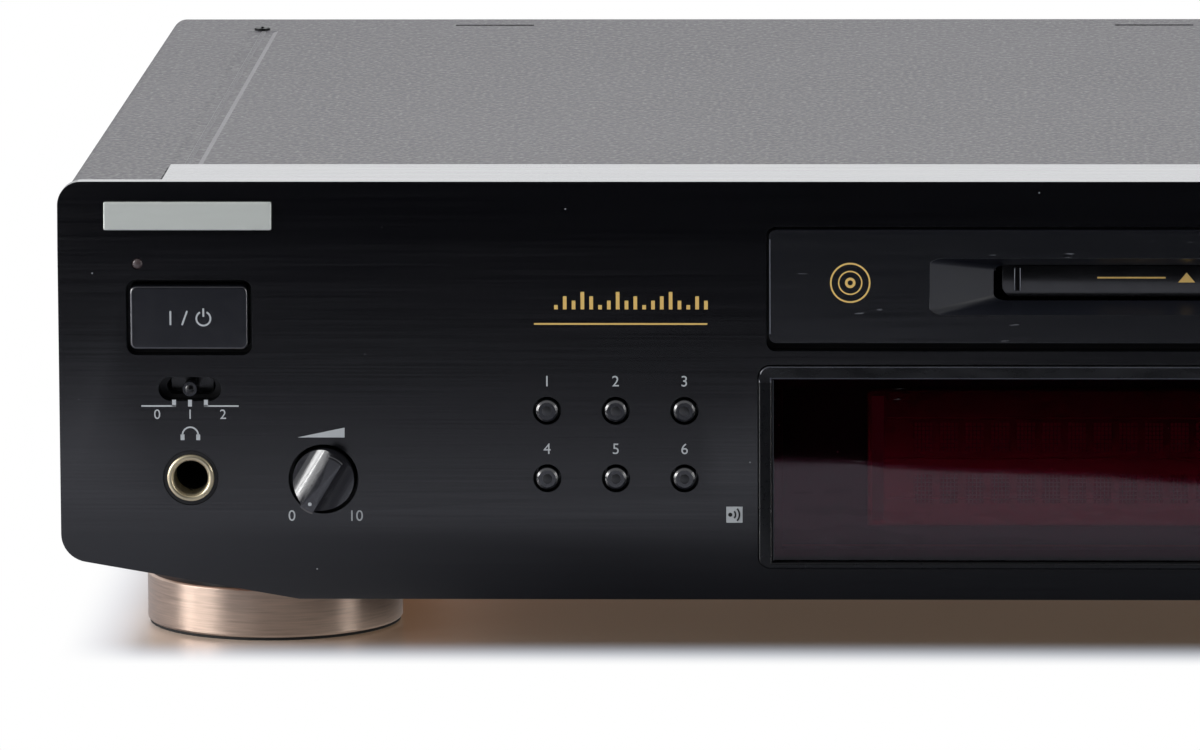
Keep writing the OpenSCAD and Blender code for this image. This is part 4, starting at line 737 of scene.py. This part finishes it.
class DECK_OT_front(bpy.types.Operator):
    """Builds the brushed front panel with its bevel and a painted highlight on its edges, the trim behind it and the
    plain bar
    """
    bl_idname = "deck.front"
    bl_label = "Front panel"

    def execute(self, context):
        sizes = context.scene.deck_sizes
        panel = dressed("front_panel", "panel_face", None, sizes.panel_edge, lambda p: p.y < FACE + 0.0011)
        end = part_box("front_panel")[1].x
        # painted sheen: the flange's top face gets a lighter grey copy of the panel's black
        second_finish(panel, "flange", lambda c, n: n.z > 0.9 and c.y > FACE + 0.0009 and c.z > PANEL_TOP - 1e-4)
        # painted highlight on the bevels of the panel's ends and top, not on its lower edge
        second_finish(panel, "painted edge highlight", lambda c, n: 0.12 < -n.y < 0.97 and c.y < FACE + 0.0012 and (
            abs(c.x) > end - 0.0052 or c.z > PANEL_TOP - 0.0008) and c.z > PANEL_LOW + 0.03)
        # the top bar of the frame round the window leans back to its outer edge
        bm = copy_of("sub_panel")
        window_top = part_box("display_window")[1].z
        sliced(bm, (0, 0, window_top - 0.0005), (0, 0, 1))
        for vert in bm.verts:
            if vert.co.y < FACE - 0.001 and vert.co.z > window_top + 0.0004:
                vert.co.y += sizes.frame_lean
        soften(bm, 0.0003, lambda p: p.y < FACE, segments=3, sharper_than=30)
        frame_piece = piece_of("trim_frame", bm, "deck", "satin black", ["sub_panel"])
        ahead, half = FACE + 0.0002, 0.09
        second_finish(frame_piece, "frame black", lambda c, n: c.y < ahead and abs(c.x) < half)
        # painted sheen: the frame's top bar gets a lighter copy of its black, for the light from above
        second_finish(frame_piece, "frame top", lambda c, n: c.y < ahead and c.z > window_top - 0.0006)
        # painted highlight on the upward bevels of the frame's top bar
        second_finish(frame_piece, "painted edge highlight", lambda c, n: c.y < ahead and abs(c.x) < half
                      and c.z > window_top and -n.y < 0.9 and n.z > 0.1)
        dressed("name_bar", "plain_bar", "bar silver", 0.0003, segments=3)
        return {"FINISHED"}


class DECK_OT_slot(bpy.types.Operator):
    """Builds the slot lid, its funnel and the flap"""
    bl_idname = "deck.slot"
    bl_label = "Disc slot"

    def execute(self, context):
        low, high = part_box("slot_lid")
        front = low.y
        bm = copy_of("slot_lid")
        self.round_recess(bm, front)
        soften(bm, 0.0003, lambda p: p.y < front + 0.0001, sharper_than=20)
        lid = piece_of("lid_shell", bm, "deck", "lid", ["slot_lid"])
        # painted sheen: the finger recess is a little lighter than the lid, with a few scuffs
        second_finish(lid, "recess sheen and scuffs", lambda c, n: front + 0.0004 < c.y < front + 0.0058 and abs(c.x) < 0.05)
        # painted highlight on the bevels at the lid's two ends
        second_finish(lid, "painted edge highlight", lambda c, n: c.y < front + 0.0004 and abs(c.x) > high.x - 0.0013
                      and -n.y < 0.97)
        # painted highlights: bright strips down the lid's two ends, where its rounded edges catch the light
        bm = bmesh.new()
        middle = centre("slot_lid") / MM
        for end in (low.x / MM + 0.14, high.x / MM - 0.14):
            stroke(bm, end, middle.z, 0.2, (high.z - low.z) / MM - 3.4, front)
        piece_of("lid_painted_highlights", bm, "deck", "bead")
        self.flap(context.scene.deck_sizes.flap_curl)
        return {"FINISHED"}

    def round_recess(self, bm, front):
        """Rounds the four inner corners of the finger recess, which run from the lid's face to the slot."""
        corners = [e for e in bm.edges if len(e.link_faces) == 2 and not e.is_convex
                   and abs(e.verts[0].co.y - e.verts[1].co.y) > 0.004
                   and abs(abs(e.verts[0].co.x) - abs(e.verts[1].co.x)) > 0.008
                   and min(v.co.y for v in e.verts) < front + 0.0002]
        if len(corners) != 4:
            raise RuntimeError("the finger recess should have four inner corners, not %d" % len(corners))
        bevelled(bm, corners, 0.0012, 4)

    def flap(self, curl):
        """The flap curls back to its lower edge, with its lower corners cut and a rib at either end."""
        bm = copy_of("slot_flap")
        low = Vector(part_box("slot_flap")[0])
        low.y = min(v.co.y for v in bm.verts if v.co.z < low.z + 0.001)
        top = low.z + 0.006
        half = max(v.co.x for v in bm.verts if v.co.z < low.z + 0.001)
        steps = 8
        for k in range(1, steps):
            sliced(bm, (0, 0, low.z + (top - low.z) * k / steps), (0, 0, 1))
        corner = 0.0012
        for vert in bm.verts:
            if vert.co.z > top + 1e-5:
                continue
            if vert.co.y < low.y + 1e-5:
                vert.co.y += curl * ((top - vert.co.z) / (top - low.z)) ** 2
            cut = low.z + corner - vert.co.z
            if cut > 0 and abs(vert.co.x) > half - 1e-5:
                vert.co.x -= cut if vert.co.x > 0 else -cut
        rib, half_rib = 0.0322, 0.0006
        for middle in (-rib, rib):
            rounded_block(bm, (middle - half_rib, low.y - 0.00022, low.z + 0.0012),
                          (middle + half_rib, low.y + 0.0005, top - 0.0004), 0.00015)
        soften(bm, 0.00015, lambda p: p.z < top + 1e-5, sharper_than=50)
        flap = piece_of("flap_shell", bm, "slot_flap", "gloss black", ["slot_flap"])
        # painted highlight on the sides of the flap's two ribs
        second_finish(flap, "bead", lambda c, n: abs(abs(c.x) - rib) < 0.0007 and abs(n.x) > 0.3
                      and c.y < low.y + 1e-5)


class DECK_OT_display(bpy.types.Operator):
    """Builds the smoked window and the unlit dot display behind it"""
    bl_idname = "deck.display"
    bl_label = "Display"

    def execute(self, context):
        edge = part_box("display_window")[0].y
        pane = dressed("display_window", "window_pane", "smoked acrylic", 0.0003, lambda p: p.y < edge + 1e-5,
                       smooth=20)
        # painted highlight on the pane's end bevels
        second_finish(pane, "bead", lambda c, n: abs(n.x) > 0.3 and 0.15 < -n.y < 0.97)
        dressed("display_tube", "tube_glass", "display glass", 0.0006, segments=3)
        low, high = (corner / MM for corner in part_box("display_tube"))
        middle = (low + high) / 2
        bm = bmesh.new()
        front = low.y * MM - 0.00004
        # two rows of 22 characters, each of 5 by 7 dots
        for base in (middle.z + 1.6, middle.z - 8.4):
            for column, i, j in product(range(22), range(5), range(7)):
                stroke(bm, low.x + 9.5 + column * 4.9 + i * 0.72, base + j * 0.82, 0.52, 0.62, front, depth=0.08)
        # metal frame of the grid at both ends, and the heater wires across
        for x in (low.x + 2.2, high.x - 2.2):
            stroke(bm, x, middle.z, 2.3, high.z - low.z - 3.0, front, depth=0.1)
        for k in (-1, 0, 1):
            stroke(bm, 0, middle.z + 7.8 * k, high.x - low.x - 8.0, 0.12, front - 0.0001, depth=0.1)
        piece_of("display_dots", bm, "deck", "display dots")
        return {"FINISHED"}


# ---------- controls ----------

class DECK_OT_keys(bpy.types.Operator):
    """Builds the keys' caps"""
    bl_idname = "deck.keys"
    bl_label = "Keys"

    def execute(self, context):
        sizes = context.scene.deck_sizes
        for node in FLAT_KEYS:
            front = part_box(node)[0].y
            dressed(node, node + "_cap", "key cap", sizes.key_edge, lambda p: p.y < front + 1e-5, segments=3)
        for node in ROUND_KEYS:
            self.cap(node, "_dome", "round cap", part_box(node)[0].y - 0.0001, 0.00207, sizes.key_dome + 0.0002, 0.0015)
        for node in SLIDERS:
            self.cap(node, "_ball", "gloss black", FACE - 0.0007, 0.0014, 0.0014, 0.0022)
        lamp = centre("standby_lamp")
        bm = bmesh.new()
        domed(bm, (lamp.x, FACE - 0.0002, lamp.z), 0.001, 0.0006, 0.0012, 10, 32)
        piece_of("lamp_dome", bm, "deck", "lamp lens")
        return {"FINISHED"}

    def cap(self, node, ending, material, front, radius, crown, skirt):
        """A round cap in front of a key or a slider."""
        middle = centre(node)
        bm = bmesh.new()
        domed(bm, (middle.x, front, middle.z), radius, crown, skirt)
        piece_of(node + ending, bm, node, material)


class DECK_OT_knobs(bpy.types.Operator):
    """Builds the two level knobs with their scooped sides, and the jog dial with its finger hollow"""
    bl_idname = "deck.knobs"
    bl_label = "Knobs"

    def execute(self, context):
        scoop = context.scene.deck_sizes.scoop
        for node, joint in (("level_knob", "level_turn"), ("record_knob", "record_turn")):
            row = next(j for j in frame["joints"] if j["name"] == joint)
            low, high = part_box(node)
            at = Vector(row["pos_m"])
            radius = (high.x - low.x) / 2
            half = 0.0014
            disc = FACE - 0.0006
            rest = Matrix.Rotation(radians(31), 3, "Y")
            # section across the grip: upright walls that run out in a hollow to the disc's rim
            outline = [(-radius - 0.001, high.y), (-radius - 0.001, disc)]
            bend = min(scoop, radius - half)
            for k in range(9):
                a = radians(90 * k / 8)
                outline.append((-half - bend + bend * sin(a), disc - bend * (1 - cos(a))))
            outline.append((-half, low.y))
            outline += [(-x, y) for x, y in reversed(outline)]
            bm = bmesh.new()
            drawn_out(bm, [bm.verts.new((at.x + x, y, at.z - radius * 1.3)) for x, y in outline],
                      (0, 0, radius * 2.6))
            drum = bmesh.new()
            rim, near, far = 0.0003, low.y - at.y, high.y - at.y
            turned(drum, [(0.0, near), (radius - rim, near), (radius, near + rim), (radius, far), (0.0, far)], at,
                   steps=96)
            bm = joined_by("INTERSECT", bm, drum)
            soften(bm, 0.00018, lambda p: p.y < low.y + 0.0002, sharper_than=40)
            bmesh.ops.rotate(bm, verts=bm.verts, cent=at, matrix=rest)
            piece_of(node + "_grip", bm, node, "knob grey", [node])
            bm = bmesh.new()
            tip = rest @ Vector((0, 0, -radius * 0.72))
            turned(bm, [(0.0, 0.0), (0.00035, 0.0), (0.00035, 0.0001), (0.0, 0.0001)],
                   (at.x + tip.x, low.y - 0.00005, at.z + tip.z), steps=24)
            piece_of(node + "_dot", bm, node, "grey ink")
        self.jog_dial()
        return {"FINISHED"}

    def jog_dial(self):
        """The jog dial: a disc with a hollow for a finger tip and fine flutes round it."""
        low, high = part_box("jog_dial")
        at = Vector(((low.x + high.x) / 2, low.y, (low.z + high.z) / 2))
        radius = (high.x - low.x) / 2
        depth = high.y - low.y
        bm = bmesh.new()
        edge = 0.0012
        profile = [(0.0031, depth), (radius - 0.0002, depth), (radius, depth - 0.0002), (radius, edge)]
        profile += [(radius - edge * (1 - cos(radians(a))), edge * (1 - sin(radians(a)))) for a in range(10, 91, 10)]
        profile += [(radius - 0.0022, 0.0), (radius - 0.0026, 0.0004), (0.0, 0.0004)]
        turned(bm, profile, at, steps=120)
        hollow = bmesh.new()
        bmesh.ops.create_uvsphere(hollow, u_segments=48, v_segments=24, radius=0.0085,
                                  matrix=Matrix.Translation((at.x + 0.0062, at.y - 0.0058, at.z + 0.0062)))
        bm = joined_by("DIFFERENCE", bm, hollow)
        piece_of("jog_disc", bm, "jog_dial", "knob grey", ["jog_dial"])
        bm = bmesh.new()
        flutes = 72
        flute = (Matrix.Translation((0, depth / 2 + 0.0006, radius - 0.00035)) @ Matrix.Rotation(radians(45), 4, "Y")
                 @ Matrix.Diagonal((0.0005, depth - 0.003, 0.0005, 1.0)))
        for k in range(flutes):
            turn = Matrix.Rotation(2 * pi * k / flutes, 4, "Y")
            bmesh.ops.create_cube(bm, size=1.0, matrix=Matrix.Translation(at) @ turn @ flute)
        piece_of("jog_flutes", bm, "jog_dial", "knob grey")


class DECK_OT_phones(bpy.types.Operator):
    """Builds the phones socket's bright lip"""
    bl_idname = "deck.phones"
    bl_label = "Phones socket"

    def execute(self, context):
        low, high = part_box("phones_bush")
        middle = (low + high) / 2
        outer = (high.x - low.x) / 2
        bore, lip, step, length = 0.00325, 0.0004, 0.00022, high.y - low.y
        # a half-round lip with a fine step inside its rim
        width = outer - bore - step
        profile = [(bore, length), (bore, 0.001), (bore + 0.0001, 0.0008), (bore + step, 0.00078)]
        profile += [(outer - width * (1 + cos(radians(a))) / 2, lip * (1 - sin(radians(a))))
                    for a in range(0, 181, 15)]
        profile += [(outer, length), (bore, length)]
        bm = bmesh.new()
        turned(bm, profile, (middle.x, low.y, middle.z), steps=96)
        piece_of("phones_lip", bm, "deck", "gold plate", ["phones_bush"], smooth=50)
        return {"FINISHED"}


# ---------- printed marks ----------

class DECK_OT_marks(bpy.types.Operator):
    """Prints plain numerals and common signs beside the controls"""
    bl_idname = "deck.marks"
    bl_label = "Printed marks"

    def execute(self, context):
        height = context.scene.deck_sizes.ink_height / MM
        grey = bmesh.new()
        for i, node in enumerate(ROUND_KEYS):
            spot = centre(node) / MM
            numeral(grey, str(i + 1), spot.x, spot.z + 5.6, height, INK)
        for node in SLIDERS:
            self.switch_scale(grey, centre(node) / MM, height)
        # a knob's numerals at the ends of its travel, and the wedge over it
        for node, reach, low_z, aside, wedge_z in (
                ("level_knob", 6.1, 30.6, -0.4, 46.8), ("record_knob", 8.4, 24.3, 0.0, 47.6)):
            x = centre(node).x / MM
            numeral(grey, "0", x - reach, low_z, height, INK)
            numeral(grey, "10", x + reach, low_z, height, INK)
            patch(grey, x + aside, wedge_z, [(-4.5, -0.95), (4.5, -0.95), (4.5, 0.95)], INK)
        # headphones sign over the socket
        x, z = centre("phones_bush").x / MM, 46.3
        arc(grey, x, z, 1.5, 0.3, INK, 0, 180)
        for side in (-1, 1):
            stroke(grey, x + side * 1.5, z - 0.45, 0.75, 1.1, INK)
        # arrows round the jog dial
        spot = centre("jog_dial") / MM
        for way in (-1, 1):
            arc(grey, spot.x, spot.z, 18.2, 0.35, INK, 90 - way * 30 - 12, 90 - way * 30 + 12)
            triangle(grey, spot.x + way * 12.6, spot.z + 13.3, 1.6, INK, way)
        self.transport_signs(grey)
        piece_of("grey_marks", grey, "deck", "grey ink")
        self.remote_sign()
        self.power_sign()
        self.gold_marks()
        return {"FINISHED"}

    def switch_scale(self, bm, spot, height):
        """Three ticks under a slide switch, with a line from either outer tick and a numeral under each."""
        for i in (-1, 0, 1):
            stroke(bm, spot.x + i * 3.05, spot.z - 2.75, 0.75, 1.3, INK)
            numeral(bm, str(i + 1), spot.x + i * 6.3, spot.z - 5.0, height * 0.9, INK)
        for side in (-1, 1):
            stroke(bm, spot.x + side * 6.0, spot.z - 3.3, 6.6, 0.3, INK)

    def transport_signs(self, bm):
        """The common signs over the tape-style keys and the eject key."""
        up = 5.3
        play, pause, stop, rewind, forward, record, eject = (centre(node + "_key") / MM for node in (
            "play", "pause", "stop", "rewind", "forward", "record", "eject"))
        triangle(bm, play.x, play.z + up, 2.0, INK)
        for side in (-1, 1):
            stroke(bm, pause.x + side * 0.55, pause.z + up, 0.6, 2.0, INK)
            triangle(bm, rewind.x + side * 0.9, rewind.z + up, 1.8, INK, -1)
            triangle(bm, forward.x + side * 0.9, forward.z + up, 1.8, INK)
        stroke(bm, stop.x, stop.z + up, 1.8, 1.8, INK)
        arc(bm, record.x, record.z + up, 0.5, 0.96, INK)
        patch(bm, eject.x, eject.z + up + 0.3, [(-1.1, -0.6), (1.1, -0.6), (0, 0.8)], INK)
        stroke(bm, eject.x, eject.z + up - 0.85, 2.2, 0.45, INK)

    def remote_sign(self):
        """A light square with a plain dot and two waves, where the remote's rays come in."""
        light = bmesh.new()
        x, z = -86.1, 31.0
        stroke(light, x, z, 3.1, 3.1, INK)
        piece_of("remote_square", light, "deck", "grey ink")
        dark = bmesh.new()
        front = INK - 0.00005
        arc(dark, x - 0.8, z, 0.2, 0.38, front)
        for radius in (1.0, 1.75):
            arc(dark, x - 0.8, z, radius, 0.3, front, -42, 42)
        piece_of("remote_waves", dark, "deck", "dark ink")

    def power_sign(self):
        """The common on and standby signs, printed on the power key."""
        spot = centre("power_key") / MM
        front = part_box("power_key")[0].y - 0.00002
        bm = bmesh.new()
        stroke(bm, spot.x - 3.5, spot.z, 0.34, 2.7, front)
        stroke(bm, spot.x - 0.8, spot.z, 0.34, 2.9, front, turn=20)
        arc(bm, spot.x + 2.8, spot.z - 0.1, 1.35, 0.34, front, 118, 422)
        stroke(bm, spot.x + 2.8, spot.z + 1.05, 0.34, 1.6, front)
        piece_of("power_sign", bm, "power_key", "grey ink")

    def gold_marks(self):
        """A row of bars over a fine rule, a plain disc on the lid, and an arrow on the flap."""
        bm = bmesh.new()
        for k, tall in enumerate((1, 3, 2, 4, 3, 1, 2, 4, 2, 3, 1, 2, 3, 4, 2, 1, 3, 2)):
            stroke(bm, -120.0 + k * 1.68, 70.6 + tall * 0.42, 0.7, tall * 0.84, INK)
        stroke(bm, -107.7, 67.8, 33.0, 0.32, INK)
        piece_of("gold_bars", bm, "deck", "gold ink")
        bm = bmesh.new()
        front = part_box("slot_lid")[0].y - 0.00002
        for radius, width in ((3.7, 0.32), (2.2, 0.26), (0.75, 0.5)):
            arc(bm, -64.0, 75.8, radius, width, front)
        piece_of("disc_sign", bm, "deck", "gold ink")
        bm = bmesh.new()
        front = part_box("slot_flap")[0].y + 0.00034
        for side in (-1, 1):
            stroke(bm, side * 10.5, 75.9, 13.0, 0.3, front)
        patch(bm, 0, 75.9, [(-1.6, -0.9), (1.6, -0.9), (0, 1.0)], front, depth=0.2)
        piece_of("insert_arrow", bm, "slot_flap", "gold ink")


# ---------- case ----------

class DECK_OT_case(bpy.types.Operator):
    """Builds the cover and the screws"""
    bl_idname = "deck.case"
    bl_label = "Case"

    def execute(self, context):
        self.cover()
        dressed("chassis_pan", "pan_shell", "copper plate")
        dressed("rear_panel", "rear_sheet", "rear paint", 0.0002, sharper_than=60)
        self.screws()
        return {"FINISHED"}

    def cover(self):
        """The cover, with sloped walls along its two shallow pressed grooves."""
        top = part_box("top_cover")[1].z
        slope, lift, rib_slope, near = 0.001, 0.00025, 0.00025, 1e-5
        bm = copy_of("top_cover")
        floor = [v for v in bm.verts if 0.0003 < top - v.co.z < 0.0007 and 0.187 < abs(v.co.x) < 0.197]
        rows = sorted({round(abs(v.co.x), 5) for v in floor})
        seam, end = min(v.co.y for v in floor), max(v.co.y for v in floor)
        sliced(bm, (0, seam, 0), (0, 1, 0), 1e-6)
        for vert in bm.verts:
            side = 1 if vert.co.x > 0 else -1
            reach = abs(vert.co.x)
            at_floor = 0.0003 < top - vert.co.z < 0.0007
            if not (rows[0] - near < reach < rows[-1] + near and seam - near < vert.co.y < end + near
                    and (at_floor or abs(vert.co.z - top) < near)):
                continue
            inner = rows[0] + near < reach < rows[-1] - near
            if at_floor:
                vert.co.z += lift
                if not inner:
                    vert.co.x += side * (slope if reach < rows[1] else -slope)
                if vert.co.y > end - near:
                    vert.co.y -= slope
            elif inner:
                vert.co.x += side * (rib_slope if reach < (rows[0] + rows[-1]) / 2 else -rib_slope)
        cover = piece_of("cover_shell", bm, "deck", "powder grey", ["top_cover"], smooth=6)
        # painted highlight: the sloped walls of the ribs and grooves get the lighter coat
        second_finish(cover, "powder painted highlight", lambda c, n: c.z > top - lift * 2 and rows[0] < abs(c.x) < rows[-2] + 1e-5
                      and 0.02 < abs(n.x) < 0.9 and abs(c.y) < 0.1)

    def screws(self):
        """Cuts a cross into every head of the case's screws."""
        crosses = bmesh.new()
        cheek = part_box("top_cover")[1].x - 0.01
        for low, high in self.islands(copy_of("case_screws")):
            size, place = high - low, (low + high) / 2
            if size.x < max(size.y, size.z) and abs(place.x) > cheek:
                axis, outward = 0, place.x > 0
            else:
                axis, outward = 2, place.z > PANEL_TOP - 0.02
            place[axis] = (high if outward else low)[axis]
            span = 0.9 * min(s for i, s in enumerate(size) if i != axis) / 2
            self.cross(crosses, place, axis, span, span * 0.2, 0.0003)
        bm = joined_by("DIFFERENCE", copy_of("case_screws"), crosses)
        screws = piece_of("crossed_screws", bm, "deck", "screw black", ["case_screws"])
        second_finish(screws, "zinc steel", lambda c, n: c.z < 0.02)

    def cross(self, bm, place, axis, span, arm, depth):
        """Adds a plus-shaped prism about a point, with its depth along an axis."""
        wide, high = [i for i in range(3) if i != axis]
        verts = []
        for u, v in ((arm, span), (arm, arm), (span, arm), (span, -arm), (arm, -arm), (arm, -span), (-arm, -span),
                     (-arm, -arm), (-span, -arm), (-span, arm), (-arm, arm), (-arm, span)):
            spot = Vector(place)
            spot[wide] += u
            spot[high] += v
            spot[axis] -= depth
            verts.append(bm.verts.new(spot))
        way = Vector((0, 0, 0))
        way[axis] = 2 * depth
        drawn_out(bm, verts, way)

    def islands(self, bm):
        """Boxes of the separate solids in a mesh."""
        boxes = []
        left = set(bm.verts)
        while left:
            group, edge = set(), [left.pop()]
            while edge:
                vert = edge.pop()
                group.add(vert)
                for link in vert.link_edges:
                    other = link.other_vert(vert)
                    if other in left:
                        left.discard(other)
                        edge.append(other)
            spots = [v.co for v in group]
            boxes.append((Vector([min(s[i] for s in spots) for i in range(3)]),
                          Vector([max(s[i] for s in spots) for i in range(3)])))
        bm.free()
        return boxes


class DECK_OT_sockets(bpy.types.Operator):
    """Builds the sockets of the rear: the line jacks, the optical ports and the mains inlet"""
    bl_idname = "deck.sockets"
    bl_label = "Rear sockets"

    def execute(self, context):
        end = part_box("line_jacks")[1].y
        lip = 0.0006
        bm = copy_of("line_jacks")
        for vert in bm.verts:
            if vert.co.y > end - 1e-5:
                vert.co.y -= lip
        jacks = piece_of("jack_block", bm, "deck", "satin black", ["line_jacks"])
        second_finish(jacks, "nickel can", lambda c, n: c.y > BACK + 0.0002 and abs(n.y) < 0.3)
        rims = bmesh.new()
        inserts = {"white": bmesh.new(), "red": bmesh.new()}
        for (x, colour), z in product(((0.08, "white"), (0.094, "red")), (0.0366, 0.0506)):
            turned(rims, [(0.0037, 0), (0.0041, 0), (0.00415, -0.00008), (0.00415, -lip), (0.0037, -lip),
                          (0.0037, 0)], (x, end, z), steps=48)
            turned(inserts[colour], [(0.0018, -lip), (0.0018, -0.0003), (0.002, -0.0002), (0.00366, -0.0002),
                                     (0.00366, -lip), (0.0018, -lip)], (x, end, z), steps=48)
        piece_of("jack_rims", rims, "deck", "nickel can")
        for colour, bm in inserts.items():
            piece_of("jack_inserts_" + colour, bm, "deck", "jack " + colour)
        dressed("optical_ports", "port_shells", edge=0.0002, sharper_than=60)
        doors = bmesh.new()
        for x in (0.02, 0.04):
            # a door, and the finger rib across it
            rounded_block(doors, (x - 0.0041, BACK - 0.0021, 0.0284), (x + 0.0041, BACK - 0.0015, 0.0364), 0.0002)
            rounded_block(doors, (x - 0.0026, BACK - 0.0016, 0.0311), (x + 0.0026, BACK - 0.0012, 0.0319), 0.0001)
        piece_of("port_doors", doors, "deck", "satin black")
        inlet = dressed("power_inlet", "inlet_shell", edge=0.0002, sharper_than=60)
        middle = centre("power_inlet")
        second_finish(inlet, "nickel can", lambda c, n: abs(c.z - middle.z) < 0.00125 and any(
            abs(c.x - middle.x - side * 0.0043) < 0.00125 for side in (-1, 1)) and c.y < BACK - 0.0009)
        return {"FINISHED"}


class DECK_OT_feet(bpy.types.Operator):
    """Rounds the edges of the four metal feet and their pads, and gives them their finishes"""
    bl_idname = "deck.feet"
    bl_label = "Feet"

    def execute(self, context):
        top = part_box("foot_rings")[0].z + 0.0099
        feet = dressed("foot_rings", "turned_feet", "champagne", 0.00015, lambda p: p.z < top, sharper_than=30)
        # painted shade: the neck above each ring and the ring's upward top face get satin black, for the dark gap under
        # the chassis
        second_finish(feet, "satin black", lambda c, n: c.z > top + 0.0005 or (n.z > 0.9 and c.z > top - 0.0003))
        dressed("foot_pads", "foot_soles", "rubber", 0.00012)
        return {"FINISHED"}


class DECK_OT_inside(bpy.types.Operator):
    """Gives every part of the frame that still shows its own finish"""
    bl_idname = "deck.inside"
    bl_label = "Finishes of the frame"

    def execute(self, context):
        for node, holder in frame["nodes"].items():
            material = FINISHES[FINISH_OF_SLOT[SLOTS[node]]]
            holder.data.materials.clear()
            holder.data.materials.append(material)
        return {"FINISHED"}


class DECK_PT_sidebar(bpy.types.Panel):
    """Lists the deck's builders, sizes and colours"""
    bl_label = "Minidisc deck"
    bl_idname = "DECK_PT_sidebar"
    bl_space_type = "VIEW_3D"
    bl_region_type = "UI"
    bl_category = "Deck"

    def draw(self, context):
        column = self.layout.column()
        for step in STEPS:
            column.operator(step.bl_idname)
        for group in (context.scene.deck_sizes, context.scene.deck_look):
            for name in group.__annotations__:
                column.prop(group, name)


STEPS = (DECK_OT_stage, DECK_OT_inside, DECK_OT_front, DECK_OT_slot, DECK_OT_display, DECK_OT_keys, DECK_OT_knobs,
         DECK_OT_phones, DECK_OT_marks, DECK_OT_case, DECK_OT_sockets, DECK_OT_feet)
CLASSES = (DeckSizes, DeckLook, *STEPS, DECK_PT_sidebar)


def register():
    for part in CLASSES:
        bpy.utils.register_class(part)
    bpy.types.Scene.deck_sizes = PointerProperty(type=DeckSizes)
    bpy.types.Scene.deck_look = PointerProperty(type=DeckLook)


def unregister():
    del bpy.types.Scene.deck_look
    del bpy.types.Scene.deck_sizes
    for part in reversed(CLASSES):
        bpy.utils.unregister_class(part)


def main():
    register()
    FINISHES.update(make_finishes())
    for step in STEPS:
        group, name = step.bl_idname.split(".")
        getattr(getattr(bpy.ops, group), name)()


if __name__ == "__main__":
    main()
